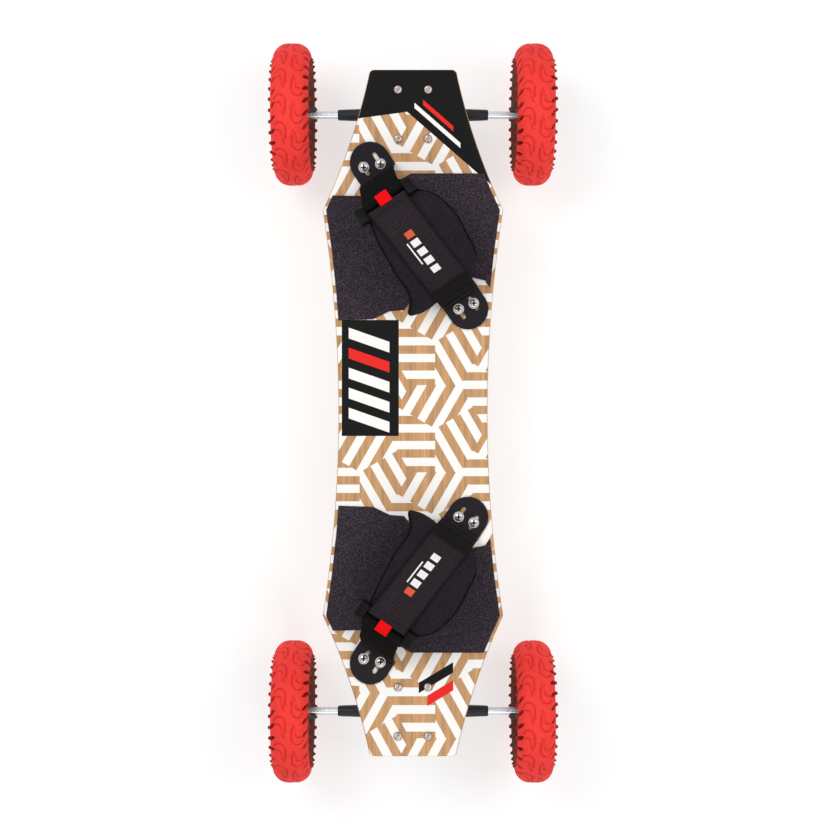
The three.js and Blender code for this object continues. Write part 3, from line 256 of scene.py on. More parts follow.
# ---- Deck -------------------------------------------------------------------------------------
# A 13 mm board pressed from bamboo strips, waisted between the feet, with both tips bent up. Its
# top carries a screen print in white, black and red, its underside black tips and bars.

MM = 0.001
DECK_HALF, DECK_THICKNESS, DECK_EDGE = 472.5 * MM, 13 * MM, 3 * MM
DECK_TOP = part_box("deck")[0].z + DECK_THICKNESS
WAIST_HALF, SHOULDER_HALF, TIP_HALF = 104.5 * MM, 126.5 * MM, 61 * MM
SHOULDER_Y, TIP_CORNER = 284 * MM, 7 * MM
TIP_Y = DECK_HALF - TIP_CORNER
TAPER_CONTROL = (81.5 * MM, 378 * MM)
BEND_START, BEND_RADIUS, TIP_ANGLE = 270 * MM, 423 * MM, math.radians(13)
WOOD = ink(199, 160, 116)
PRINT_WHITE, PRINT_BLACK, PRINT_RED = ink(246, 244, 240), ink(11, 11, 11), ink(232, 42, 38)
STRIP_WIDTH = 5.6 * MM
HEXAGON_HEIGHT, HEXAGON_MIDDLE = 122 * MM, (31 * MM, -22 * MM)
STRIPE_PITCH = HEXAGON_HEIGHT / 5.2
BAR_SLANT = 0.35
# The black tips' edges are pairs of lines, each through two points in mm: on the top the nose, and
# on the underside the nose and the tail.
TOP_NOSE = ((-73.1, 408.8), (-8.0, 417.2)), ((-8.0, 417.2), (90.0, 335.3))
UNDER_NOSE = ((-71.5, 421.8), (-25.3, 427.4)), ((26.5, 396.6), (96.5, 343.4))
UNDER_TAIL = ((-72.9, -411.9), (-25.3, -418.2)), ((27.9, -386.0), (103.5, -324.4))
# Eight drilled holes let the bindings' screws through from above. These are the front ones.
SCREW_HOLES = [(-64.1, 346.9), (-84.6, 341.9), (65.7, 161.4), (46.1, 155.8)]
HOLE_RADIUS = 3.6 * MM


def held(value):
    return min(1.0, max(0.0, value))


def over_deck(x, y, h):
    """The point at height h over the deck top."""
    side = -1 if y < 0 else 1
    bend = max(0.0, abs(y) - BEND_START)
    angle = min(TIP_ANGLE, math.asin(min(1.0, bend / BEND_RADIUS)))
    beyond = max(0.0, bend - BEND_RADIUS * math.sin(TIP_ANGLE))
    rise = BEND_RADIUS * (1 - math.cos(angle)) + beyond * math.tan(TIP_ANGLE)
    up = DECK_TOP + rise + h * math.cos(angle)
    return Vector((x, y - side * h * math.sin(angle), up))


def deck_half_width(y):
    """Half the deck's width at a distance from its middle."""
    y = abs(y)
    if y <= SHOULDER_Y:
        return WAIST_HALF + (SHOULDER_HALF - WAIST_HALF) * (y / SHOULDER_Y) ** 2
    if y >= TIP_Y:
        return TIP_HALF - TIP_CORNER + math.sqrt(max(0.0, TIP_CORNER**2 - (y - TIP_Y) ** 2))
    a = SHOULDER_Y - 2 * TAPER_CONTROL[1] + TIP_Y
    b = TAPER_CONTROL[1] - SHOULDER_Y
    share = (math.sqrt(b * b - a * (SHOULDER_Y - y)) - b) / a
    start, end = (1 - share) ** 2 * SHOULDER_HALF, share**2 * TIP_HALF
    return start + 2 * share * (1 - share) * TAPER_CONTROL[0] + end


def skin(rows, count, around=False, closed=True):
    """Four-sided faces between rows of points. A row may close on itself, and the last row may
    join the first."""
    faces = []
    for row in range(rows if around else rows - 1):
        near, far = row * count, (row + 1) % rows * count
        for i in range(count if closed else count - 1):
            j = (i + 1) % count
            faces.append((near + i, near + j, far + j, far + i))
    return faces


def loft(rings):
    """A closed shape through rings of points with the same count."""
    count, total = len(rings[0]), len(rings) * len(rings[0])
    ends = [tuple(range(count)), tuple(range(total - 1, total - count - 1, -1))]
    return [p for ring in rings for p in ring], skin(len(rings), count) + ends


def mesh_object(name, shape, *finishes, merge=0.0):
    """An object from a shape's points and faces, with its faces turned outwards."""
    piece = add_mesh(name, *shape, *finishes)
    turn_outwards(piece, merge)
    piece.data.shade_smooth()
    return piece


def turn_outwards(piece, merge=0.0):
    work = bmesh.new()
    work.from_mesh(piece.data)
    if merge:
        bmesh.ops.remove_doubles(work, verts=work.verts, dist=merge)
    bmesh.ops.recalc_face_normals(work, faces=work.faces)
    work.to_mesh(piece.data)
    work.free()


def sharpen(piece, degrees):
    """Keeps the edges that are sharper than an angle."""
    piece.data.shade_smooth()
    piece.data.set_sharp_from_angle(angle=math.radians(degrees))
    return piece


def unroll(piece, name, places):
    """Gives a piece a UV map, from the (u, v) of each of its points."""
    uv = piece.data.uv_layers.new(name=name)
    for loop in piece.data.loops:
        uv.data[loop.index].uv = places[loop.vertex_index]


def bamboo(finish, dark):
    """Gives a finish the bump of pressed bamboo, and makes its colour: strips of slightly different
    tone, fibres along them and a knuckle across each strip now and then."""
    x, y, z = finish.parts()
    tone = finish.chance((x / STRIP_WIDTH).floor())
    plank_tone = finish.chance((x / (STRIP_WIDTH * 7)).floor() + 50)
    fibre = finish.noise((520, 7, 7), 3.0, 0.55)
    coarse = finish.noise((190, 3, 3), 3.0, 0.6)
    along = (y + tone * 0.31) % 0.27
    knuckle = (1 - abs(along - 0.1) / 0.0035 | 0) * finish.noise((160, 60, 160), 1.0)
    level = 0.93 + tone * 0.1 + plank_tone * 0.06 + (fibre - 0.5) * 0.7
    level = level + (coarse - 0.5) * 1.1 - knuckle * 0.3
    finish.bump(fibre, 0.15 * MM, 0.35)
    return x, y, finish.shade(finish.mix(coarse, WOOD, dark), level)


def line_at(x, first, second):
    """The y at x of the line through two points in mm."""
    slope = (second[1] - first[1]) / (second[0] - first[0])
    return (x - first[0] * MM) * slope + first[1] * MM


def slanted(slope, low, high, left, right):
    """A printed bar with slanted edges between two x, in mm."""
    return (y + x * slope).between(low * MM, high * MM) & x.between(left * MM, right * MM)


def ladder(left, right, low, pitch, width, count):
    """Slanted bars in a row, in mm, and the place among them, counted in bars."""
    place = (y + (x - left * MM) * BAR_SLANT - low * MM) / (pitch * MM)
    bars = x.between(left * MM, right * MM) & place.between(0, count)
    return bars & ((place % 1.0) < width / pitch), place


deck_top = Finish("printed_bamboo", specular=0.1)
x, y, paint = bamboo(deck_top, ink(188, 139, 96))

# The print: rhombi that turn round hexagon centres like a pinwheel, each hatched along one side.
hexagon_width = HEXAGON_HEIGHT * math.sqrt(3)


def hexagon_local(shift_u, shift_v):
    """Coordinates from the nearest point of one of the two grids of hexagon centres."""
    local_u = (x - HEXAGON_MIDDLE[0] + shift_u) % hexagon_width - hexagon_width / 2
    local_v = (y - HEXAGON_MIDDLE[1] + shift_v) % HEXAGON_HEIGHT - HEXAGON_HEIGHT / 2
    return local_u, local_v, local_u * local_u + local_v * local_v


def toward(degrees):
    """How far a point lies from its hexagon's centre in one direction."""
    turn = math.radians(degrees)
    return hex_u * math.cos(turn) + hex_v * math.sin(turn)


first_u, first_v, first_far = hexagon_local(0, 0)
second_u, second_v, second_far = hexagon_local(hexagon_width / 2, HEXAGON_HEIGHT / 2)
is_second = second_far < first_far
hex_u = first_u + is_second * (second_u - first_u)
hex_v = first_v + is_second * (second_v - first_v)
stripes = 0
for turn in (90, 210, 330):
    middle = toward(turn)
    inside = (middle > toward(turn + 120)) & (middle > toward(turn + 240))
    stripe = ((toward(turn + 60) / STRIPE_PITCH + 0.27) % 1.0) < 0.5
    stripes = (inside & stripe) | stripes
is_nose = y > (line_at(x, *TOP_NOSE[0]) & line_at(x, *TOP_NOSE[1]))
bars, bar_place = ladder(-90, -33, -7.5, 28, 15, 5)
nose_white, nose_red = slanted(0.8357, 424, 431, 2, 66), slanted(0.8357, 438, 445, 14, 56)
tail_black, tail_red = slanted(-0.577, -394, -380, 8, 56), slanted(-0.577, -418, -404, 20, 56)
panel = slanted(0, -32.2, 130.2, -99.7, -19.9)
for mask, colour in (
    (stripes, PRINT_WHITE),
    (tail_black, PRINT_BLACK),
    (tail_red, PRINT_RED),
    (is_nose | panel, PRINT_BLACK),
    (bars | (nose_white & is_nose), PRINT_WHITE),
    ((bars & bar_place.between(3, 4)) | (nose_red & is_nose), PRINT_RED),
):
    paint = deck_top.mix(mask, paint, colour)
deck_top.set(base_color=paint)

# The underside's print: a ladder of slanted bars along one side and two stripes at the nose.
deck_underside = Finish("bare_bamboo", specular=0.1)
x, y, paint = bamboo(deck_underside, ink(216, 170, 128))
is_nose = y > (line_at(x, *UNDER_NOSE[0]) & line_at(x, *UNDER_NOSE[1]))
is_tail = y < (line_at(x, *UNDER_TAIL[0]) | line_at(x, *UNDER_TAIL[1]))
bars, bar_place = ladder(-97, -37, -154, 34, 21, 7)
is_red = bars & (bar_place.between(0, 1) | bar_place.between(4, 5))
rim, hole = 0, 0
for hole_x, hole_y in SCREW_HOLES:
    across, along = x - hole_x * MM, abs(y) - hole_y * MM
    far = (across * across + along * along).root()
    rim, hole = (far < HOLE_RADIUS) | rim, (far < HOLE_RADIUS * 0.55) | hole
for mask, colour in (
    (is_nose | is_tail | bars | slanted(-0.75, 207, 226, 4, 92), PRINT_BLACK),
    (is_red | slanted(-0.75, 240, 256, 26, 82), PRINT_RED),
    (rim, ink(96, 70, 46)),
    (hole, ink(176, 140, 98)),
):
    paint = deck_underside.mix(mask, paint, colour)
deck_underside.set(base_color=paint)

deck_edge = Finish("pressed_plies")
ply_place = deck_edge.node("ShaderNodeUVMap", {"uv_map": "plies"})
across = deck_edge.parts(ply_place)[1]
ply = (across * 5).floor()
edge_fibre = deck_edge.noise((12, 700, 1), 3.0, 0.6, ply_place)
edge_level = 0.78 + deck_edge.chance(ply + 3) * 0.2 + (edge_fibre - 0.5) * 0.4
ply_colour = deck_edge.mix(ply % 2.0, WOOD, ink(172, 122, 76))
deck_edge.set(base_color=deck_edge.shade(ply_colour, edge_level))


def make_deck():
    """Cross sections with round edges along the deck, drawn together at its ends."""
    round_tip = TIP_Y + TIP_CORNER * np.sin(np.radians((15, 30, 45, 60, 72, 84, 90)))
    middle = np.linspace(0, SHOULDER_Y, 22, endpoint=False)
    stations = np.r_[middle, np.linspace(SHOULDER_Y, TIP_Y, 31), round_tip]
    columns = [i / 7 for i in range(-7, 8)]
    turns = np.radians((0, 22.5, 45, 67.5, 90))
    corner = [(DECK_EDGE * math.cos(a), DECK_EDGE * math.sin(a)) for a in turns]
    rings, plies = [], []
    for y in np.r_[-stations[:0:-1], stations]:
        flat = deck_half_width(y) - DECK_EDGE
        left = max(0.0, DECK_EDGE / 2 - (DECK_HALF - abs(y)))
        tuck = DECK_EDGE / 2 - math.sqrt(max(0.0, (DECK_EDGE / 2) ** 2 - left**2))
        section = [(column * flat, 0.0) for column in columns]
        section += [(flat + s, c - DECK_EDGE) for c, s in corner[1:]]
        section += [(flat + c, DECK_EDGE - s - DECK_THICKNESS) for c, s in corner[:-1]]
        section += [(-x, -DECK_THICKNESS - h) for x, h in section]
        low, high = tuck - DECK_THICKNESS, -tuck
        rings.append([over_deck(x, y, max(low, min(high, h))) for x, h in section])
        plies += [(y, -h / DECK_THICKNESS) for x, h in section]
    board = mesh_object("deck_board", loft(rings), deck_top, deck_underside, deck_edge)
    count, wide = len(section), len(columns) + 3
    slots = []
    for k in range(count):
        is_top, is_low = (k + 2) % count < wide, (k + 2 - count // 2) % count < wide
        slots.append(0 if is_top else 1 if is_low else 2)
    slots = slots * (len(rings) - 1) + [2, 2]
    board.data.polygons.foreach_set("material_index", slots)
    unroll(board, "plies", plies)
    return sharpen(board, 35)


deck_board = make_deck()
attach(deck_board, "deck_body")
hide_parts("deck")

# ---- Grit sheets ------------------------------------------------------------------------------
# Two sheets of black grit tape are stuck under the feet, cut round the bindings' anchors. They keep
# their CAD solids and get a coarse grain, with bright specks in the colour that are painted glints.

grit = Finish("black_grit", 0.9, 0.3)
fine = grit.noise(480, 3.0, 0.75)
cloud = grit.noise(60)
# Painted glints: bright specks in the colour stand for the grit's sparkle.
painted_glint = (grit.noise(1500, 0.0) - 0.62) * 6 | 0
grit_level = (fine - 0.5) * 9.5 + 0.72 + cloud * 0.25 + painted_glint | 0.25
grit.set(base_color=grit.shade(ink(47, 39, 47), grit_level))
grit.bump(fine, 0.6 * MM, 0.9)
for end in ("front", "rear"):
    sheet_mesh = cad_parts[end + "_grip"].data
    for slot_index in range(len(sheet_mesh.materials)):
        sheet_mesh.materials[slot_index] = grit.material

# ---- Wheels -----------------------------------------------------------------------------------
# Each wheel is an 8-inch air tyre moulded in red rubber, a black tube with a bent valve, a moulded
# black rim in two halves that five bolts clamp, and two shielded ball bearings.

# A wheel is made in mm, with its axle along x and its outer side at +x.
TYRE_RADIUS, TYRE_PITCHES, TYRE_COLUMNS, TYRE_ROWS = 100, 16, 40, 32
# The tyre's outside from the crown to the bead and its inside back again, as (x, radius).
TYRE_OUTSIDE = [
    (0, 100), (8, 99.8), (14, 98.2), (19, 95.2), (23, 91), (25.4, 86.5), (26.2, 81), (26, 75),
    (24.8, 69), (22.4, 63.5), (19.4, 59), (16.6, 55.4), (16, 53),
]
TYRE_INSIDE = [(15.8, 48.9), (12.6, 48.9), (20, 69.5), (20.3, 81), (12, 89), (0, 92.5)]
TUBE_HALF = [(49.8, 10.6), (69, 19.2), (80.8, 19.4), (88.2, 11.6)]
# How far down the side the tread ends, the wall starts and its rings stand, and a place past it.
TREAD_END, WALL_START, WALL_RINGS = 35.0, 37.0, (42.0, 44.0, 51.0, 58.0, 60.0)
PAST_THE_WALL = 99.0
GROOVE_DEPTH, GROOVE_HALF, GROOVE_WALL = 1.9, 1.5, 0.9
VALLEY_DEPTH, VALLEY_START, VALLEY_SLANT = 5.0, 18.5, 0.55
RIM_BARREL, RIM_BOLT_CIRCLE, SPOKE_COUNT = 47.5, 34.0, 5
VALVE_ELBOW = (-9, 0, 39.5)
BEARING_FROM_MIDDLE = 14


def even_line(points, count):
    """A smooth line through points, as a count of even steps, and how far along each one lies."""
    line = np.array([points[0], *points, points[-1]], float)
    fine = []
    for i in range(1, len(line) - 2):
        before, start, end, after = line[i - 1 : i + 3]
        for t in np.linspace(0, 1, 24, endpoint=False):
            bend = (2 * before - 5 * start + 4 * end - after) * t**2
            twist = (3 * start - before - 3 * end + after) * t**3
            fine.append(0.5 * (2 * start + (end - before) * t + bend + twist))
    fine = np.array([*fine, line[-2]])
    length = np.r_[0, np.cumsum(np.linalg.norm(np.diff(fine, axis=0), axis=1))]
    at = np.linspace(0, length[-1], count)
    return np.stack([np.interp(at, length, fine[:, k]) for k in range(fine.shape[1])], 1), at


def turned(outline, segments=40, closed=False, start=(0, 0, 0), axis=(0, 0, 1)):
    """A shape that (radius, height) points make when they turn about an axis."""
    turn = Vector((0, 0, 1)).rotation_difference(Vector(axis)).to_matrix()
    vertices = []
    for k in range(segments):
        angle = 2 * math.pi * k / segments
        for radius, height in outline:
            point = Vector((radius * math.cos(angle), radius * math.sin(angle), height))
            vertices.append(turn @ point + Vector(start))
    return vertices, skin(segments, len(outline), True, closed)


def rod(radius, low, high):
    """The outline of a plain round rod."""
    return [(0, low), (radius, low), (radius, high), (0, high)]


def block(size, middle, turn=Matrix.Identity(3), round_off=1.0, steps=2):
    """A box with rounded edges."""
    work = bmesh.new()
    bmesh.ops.create_cube(work, size=1)
    bmesh.ops.scale(work, vec=size, verts=work.verts)
    rounding = {"offset": round_off, "segments": steps, "profile": 0.5, "affect": "EDGES"}
    bmesh.ops.bevel(work, geom=work.edges[:], **rounding)
    work.verts.index_update()
    vertices = [turn @ v.co + Vector(middle) for v in work.verts]
    faces = [tuple(v.index for v in f.verts) for f in work.faces]
    work.free()
    return vertices, faces


def joined(*shapes):
    vertices, faces = [], []
    for points, sides in shapes:
        faces += [tuple(n + len(vertices) for n in side) for side in sides]
        vertices += points
    return vertices, faces


def solid(name, shape, finish, angle=35):
    """An object from a shape, with edges sharper than the angle kept."""
    return sharpen(mesh_object(name, shape, finish, merge=1e-4), angle)


def merged(first, *others):
    """One object from several."""
    pieces = [first, *others]
    with bpy.context.temp_override(
        active_object=first, selected_editable_objects=pieces, object=first
    ):
        bpy.ops.object.join()
    return first


def settle(piece, matrix, body, slot, *nodes):
    """Moves a piece's mesh to its place, hangs the piece under its body and hides the CAD nodes
    that it stands for.
    """
    piece.data.transform(matrix)
    if matrix.determinant() < 0:
        piece.data.flip_normals()
    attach(piece, body)
    if nodes:
        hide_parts(*nodes)
    return piece


def settle_copies(parts, owner, matrix, body):
    """Puts a copy of each part where its owner, such as one of the wheels, is. A part is a piece,
    its slot and the end of the name of the node that it stands for."""
    made = {}
    for name, (piece, slot, *nodes) in parts.items():
        copy = add_object(f"{owner}_{name}_look", piece.data.copy())
        made[name] = settle(copy, matrix, body, slot, *[f"{owner}_{node}" for node in nodes])
    return made


def clear_away(parts):
    for part in parts.values():
        bpy.data.objects.remove(part[0])


def evaluated_mesh(piece):
    evaluated = piece.evaluated_get(bpy.context.evaluated_depsgraph_get())
    return bpy.data.meshes.new_from_object(evaluated)


def applied(piece):
    """Turns a piece with its modifiers into a plain mesh."""
    mesh = evaluated_mesh(piece)
    piece.modifiers.clear()
    piece.data = mesh
    return piece


class Pattern(Tree):
    """A Geometry Nodes tree with named inputs, which turns an object into a plain mesh."""

    def __init__(self, name, **inputs):
        group = bpy.data.node_groups.new(name, "GeometryNodeTree")
        super().__init__(group)
        for label, kind in {"Geometry": "Geometry", **inputs, "Finish": "Material"}.items():
            group.interface.new_socket(label, in_out="INPUT", socket_type="NodeSocket" + kind)
        group.interface.new_socket("Geometry", in_out="OUTPUT", socket_type="NodeSocketGeometry")
        given = group.nodes.new("NodeGroupInput").outputs
        self.given = {output.name: Socket(self, output) for output in given}
        self.result = group.nodes.new("NodeGroupOutput")

    def place_copies(self, points, one, merge=None, **how):
        """Ends the tree with copies of one shape at points."""
        inputs = {"Points": points, "Instance": one, **how}
        self.end(self.node("GeometryNodeInstanceOnPoints", (), inputs), merge)

    def end(self, geometry, merge=None):
        geometry = self.node("GeometryNodeRealizeInstances", (), {0: geometry})
        if merge is not None:
            inputs = {"Geometry": geometry, "Distance": merge}
            geometry = self.node("GeometryNodeMergeByDistance", (), inputs)
        inputs = {"Geometry": geometry, "Material": self.given["Finish"]}
        self.feed(self.result.inputs[0], self.node("GeometryNodeSetMaterial", (), inputs))

    def run(self, piece, finish, **values):
        modifier = piece.modifiers.new("pattern", "NODES")
        modifier.node_group = self.tree
        values["Finish"] = finish.material
        for item in self.tree.interface.items_tree:
            if item.in_out == "INPUT" and item.name in values:
                modifier[item.identifier] = values[item.name]
        return applied(piece)


# A ring of copies about the wheel's axis, such as the tread's pitches, the spokes and the bolts.
ring_of_copies = Pattern("ring_of_copies", Copies="Int")
count = ring_of_copies.given["Copies"]
step = ring_of_copies.node("GeometryNodeInputIndex") * (2 * math.pi) / count
turn = ring_of_copies.node("ShaderNodeCombineXYZ", (), {"X": step})
spots = ring_of_copies.node("GeometryNodeMeshLine", (), {"Count": count, "Offset": (0, 0, 0)})
ring_of_copies.place_copies(spots, ring_of_copies.given["Geometry"], 0.02, Rotation=turn)


def carried(finish, name):
    """A number that a mesh carries at each of its points."""
    return finish.node("ShaderNodeAttribute", {"attribute_name": name}, (), "Fac")


# The tread is red, and darker red in its grooves and valleys as painted shade. The side walls are
# dark brown, partly the rubber's own colour and partly painted shade, with a few fine rings moulded
# round them.
tyre_rubber = Finish("red_rubber", specular=0.2)
dust = tyre_rubber.noise(160, 4.0, 0.6)
from_crown = carried(tyre_rubber, "from_crown")
on_wall = ((from_crown - WALL_START) / 4).held()
# Painted shade: the deeper the tread is cut, the darker its red.
red = tyre_rubber.mix(carried(tyre_rubber, "groove") & 1.0, ink(240, 58, 52), ink(122, 16, 11))
# The side walls' dark brown is partly the rubber's colour and partly painted shade.
wall_brown_and_shade = tyre_rubber.mix(dust, ink(86, 42, 32), ink(112, 60, 46))
both = tyre_rubber.shade(tyre_rubber.mix(on_wall, red, wall_brown_and_shade), 0.9 + dust * 0.2)
tyre_rubber.set(base_color=both, roughness=0.7 + on_wall * 0.3)
rings = 0
for ring_place in WALL_RINGS:
    rings = (1 - abs(from_crown - ring_place) / 0.7 | 0) | rings
tyre_rubber.bump(tyre_rubber.noise(900) * 0.1 + rings, 0.7 * MM, 0.5)

tube_rubber = Finish("black_rubber", 0.6)
tube_rubber.speckle(ink(26, 26, 27), 0.8, 0.4, 300)

rim_nylon = Finish("black_nylon", specular=0.35)
rim_grain = rim_nylon.speckle(ink(28, 28, 30), 0.85, 0.3, 1200, 3.0)
rim_nylon.bump(rim_grain, 0.1 * MM, 0.4)

plated_steel = Finish("plated_steel", metallic=1.0)
rub = plated_steel.speckle(ink(206, 208, 212), 0.86, 0.24, (900, 60, 60), 4.0, 0.6)
plated_steel.set(roughness=0.2 + rub * 0.16)

# Grooves of one pitch of the tread, as (from the crown, along the pitch).
TREAD_LINES = [
    even_line(points, 60)[0]
    for points in (
        [(22.0, -5.0), (17.0, -10.0), (10.0, -10.0), (4.8, -4.0), (4.0, 5.0), (5.2, 14.0)],
        [(6.5, 19.0), (9.5, 12.5), (10.0, 6.0), (12.5, 1.0), (17.0, 0.5)],
    )
]


def tread_depth(across, along, side):
    """How deep the tread is cut at a distance from the crown's middle and along the pitch."""
    pitch = 2 * math.pi * TYRE_RADIUS / TYRE_PITCHES
    half_pitch = pitch / 2
    if side < 0:
        along = half_pitch - along
    depth = 0.0
    for line in TREAD_LINES:
        for turn in (-1, 0, 1):
            away = np.hypot(line[:, 0] - across, line[:, 1] + turn * pitch - along).min()
            depth = max(depth, GROOVE_DEPTH * held((GROOVE_HALF - away) / GROOVE_WALL))
    slant = along - VALLEY_SLANT * (across - 20)
    from_valley = abs((slant + half_pitch / 2) % half_pitch - half_pitch / 2)
    reach = held((across - VALLEY_START) / 7)
    valley = VALLEY_DEPTH * reach * held((0.8 + 3.2 * reach - from_valley) / 1.8)
    fade = held((TREAD_END + 8 - across) / 6)
    return max(depth if across < TREAD_END else 0.0, valley) * fade


def make_tyre():
    """One pitch of the casing with its tread cut in, copied round the wheel."""
    line, at = even_line(TYRE_OUTSIDE, TYRE_ROWS)
    normals = np.gradient(line, axis=0)[:, ::-1] * (-1, 1)
    normals /= np.linalg.norm(normals, axis=1, keepdims=True)
    half = [(x, r, a, u, v) for (x, r), a, (u, v) in zip(line, at, normals)]
    inside = [(x, r, PAST_THE_WALL, 0, 0) for x, r in TYRE_INSIDE]
    section = [(-x, r, a, -u, v, -1) for x, r, a, u, v in half[:0:-1]]
    section += [(*point, 1) for point in half + inside]
    section += [(-x, r, a, u, v, -1) for x, r, a, u, v in inside[-2::-1]]
    vertices, depths, distances = [], [], []
    for column in range(TYRE_COLUMNS + 1):
        angle = 2 * math.pi / TYRE_PITCHES * column / TYRE_COLUMNS
        for x, r, from_crown, u, v, side in section:
            depth = tread_depth(from_crown, angle * TYRE_RADIUS, side)
            inward = -depth if v > 0 else depth
            r_cut = r + inward * v
            vertices.append((x + inward * u, r_cut * math.sin(angle), r_cut * math.cos(angle)))
            depths.append(depth / VALLEY_DEPTH)
            distances.append(from_crown)
    piece = add_mesh("tyre", vertices, skin(TYRE_COLUMNS + 1, len(section)), tyre_rubber)
    for name, values in (("groove", depths), ("from_crown", distances)):
        piece.data.attributes.new(name, "FLOAT", "POINT").data.foreach_set("value", values)
    ring_of_copies.run(piece, tyre_rubber, Copies=TYRE_PITCHES)
    turn_outwards(piece)
    return sharpen(piece, 60)


def make_rim_half(side):
    """Barrel and flange, hub, and spokes with rounded edges."""
    barrel = [
        (0, 0.15), (0, 15.8), (1, 16.3), (5.4, 16.3), (6, 17), (6, 18.4), (5.2, 19), (-2.6, 19),
        (-3.5, 18), (-3.5, 0.15),
    ]
    barrel = [(RIM_BARREL + r, z) for r, z in barrel]
    hub = [(12, 0.15), (20, 0.15), (20, 17.2), (19.2, 18), (14.3, 18), (14.3, 9.7), (12, 9.7)]
    lines = [[(r, side * z) for r, z in line] for line in (barrel, hub)]
    rim = [turned(line, 72, True, axis=(1, 0, 0)) for line in lines]
    seat = [(0, 0), (6.4, 0), (6.4, 8.2), (5.8, 8.8), (0, 8.8)]
    spoke = [
        block((6.4, 15, 27), (side * 3.4, 0, 32), round_off=1.4),
        block((4, 4, 26), (side * 7.4, 0, 32), round_off=1.2),
        turned(seat, 24, start=(0, 0, RIM_BOLT_CIRCLE), axis=(side, 0, 0)),
    ]
    spokes = solid("spokes", joined(*spoke), rim_nylon)
    ring_of_copies.run(spokes, rim_nylon, Copies=SPOKE_COUNT)
    return merged(solid("rim_half", joined(*rim), rim_nylon), spokes)


def make_rim_bolts():
    """Cap screws' heads on the outer side, and locknuts with washers on the inner side."""
    head = [(0, 11), (1.9, 11.2), (1.9, 13.6), (3.9, 13.6), (4.6, 13), (4.6, 8.8), (0, 8.8)]
    nut = [(0, 9.6), (4.5, 9.6), (4.5, 13), (3.4, 14.4), (0, 14.4)]
    outlines = ((head, 20, 1), (rod(5.4, 8.8, 9.6), 20, -1), (nut, 6, -1))
    bolt = [
        turned(outline, segments, start=(0, 0, RIM_BOLT_CIRCLE), axis=(side, 0, 0))
        for outline, segments, side in outlines
    ]
    piece = solid("rim_bolts", joined(*bolt), plated_steel)
    return sharpen(ring_of_copies.run(piece, plated_steel, Copies=SPOKE_COUNT), 35)


def make_bearing(side):
    half = [(6.4, 4), (8.2, 4), (8.6, 3.5), (11.6, 3.5), (12, 4), (13.8, 4), (14, 3.8)]
    race = [(r, -z) for r, z in half] + half[::-1]
    race = [(r, z + side * BEARING_FROM_MIDDLE) for r, z in race]
    return solid("bearing", turned(race, 40, True, axis=(1, 0, 0)), plated_steel)


def make_tube():
    """The tube fills the tyre, and its valve bends out through the inner half."""
    section = [*TUBE_HALF, (91.6, 0), *[(r, -z) for r, z in TUBE_HALF[::-1]]]
    elbow = [(0, -2.8), (1.6, -2.3), (2.5, -1.3), (2.8, 0), (2.5, 1.3), (1.6, 2.3), (0, 2.8)]
    cap = [(0, 15), (3.6, 15), (4.3, 15.6), (4.3, 24.4), (3.4, 25.8), (0, 26)]
    valve = [
        turned(outline, segments, start=VALVE_ELBOW, axis=axis)
        for outline, segments, axis in (
            (rod(2.8, 0, 11), 16, (0, 0, 1)),
            (elbow, 16, (0, 0, 1)),
            (rod(2.8, 0, 16), 16, (-1, 0, 0)),
            (cap, 18, (-1, 0, 0)),
        )
    ]
    return solid("tube", joined(turned(section, 48, True, axis=(1, 0, 0)), *valve), tube_rubber)


wheel_parts = {
    "tyre": (make_tyre(), "tyre", "tyre"),
    "outer_rim": (make_rim_half(1), "rim", "outer_rim"),
    "inner_rim": (make_rim_half(-1), "rim", "inner_rim"),
    "tube_and_valve": (make_tube(), "tube", "inner_tube"),
    "outer_bearing": (make_bearing(1), "steel", "outer_bearing"),
    "inner_bearing": (make_bearing(-1), "steel", "inner_bearing"),
    "rim_bolts": (make_rim_bolts(), "steel"),
}
for wheel in ("front_right", "front_left", "rear_right", "rear_left"):
    boxes = [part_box(f"{wheel}_{seat}_bearing") for seat in ("outer", "inner")]
    middle = sum((low + high for low, high in boxes), Vector((0, 0, 0))) / 4
    turn = Matrix.Rotation(0 if middle.x > 0 else math.pi, 4, "Z")
    place = Matrix.Translation(middle) @ turn @ Matrix.Scale(MM, 4)
    settle_copies(wheel_parts, wheel, place, f"{wheel}_wheel")
clear_away(wheel_parts)

# ---- Trucks -----------------------------------------------------------------------------------
# A cast and painted baseplate is bolted under each tip. The cast hanger turns on a pivot nose and
# on two urethane bushings round the kingpin, and a plated steel axle runs through it.

# A truck is made in mm, on the deck's underside with z square to it and the nose at +y.
TRUCK_FROM_TIP = 55.6
BOLT_SPOTS = [(x, y) for x in (-20.85, 20.85) for y in (-33.5, 33.5)]
KINGPIN_FOOT = Vector((0, -23, 0))
RING_MIDDLE = Vector((0, -23, -39.1))
PIVOT = Vector((0, 28, -16))
AXLE_MIDDLE, AXLE_HALF, AXLE_NUT_X = Vector((0, -4, -58)), 201.3, 189.3
THREAD_TURNS, THREAD_PITCH = 9, 1.25
CAST_VOXEL = 1.1
steer_axis = (PIVOT - RING_MIDDLE).normalized()

cast_paint = Finish("black_cast_paint", 0.45, 0.3)
chips = cast_paint.noise(1100, 3.0, 0.6)
wash = cast_paint.noise(40, 3.0)
cast_paint.set(base_color=cast_paint.shade(ink(19, 26, 34), 0.75 + chips * 0.25 + wash * 0.3))
cast_paint.bump(chips, 0.2 * MM, 0.5)

urethane = Finish("orange_urethane", 0.35, 0.4)
urethane.speckle(ink(192, 100, 38), 0.85, 0.3, (130, 130, 30), 3.0)

black_oxide = Finish("black_oxide_steel", metallic=1.0)
oxide = black_oxide.speckle(ink(58, 58, 62), 0.8, 0.4, 400, 3.0)
black_oxide.set(roughness=0.34 + oxide * 0.2)

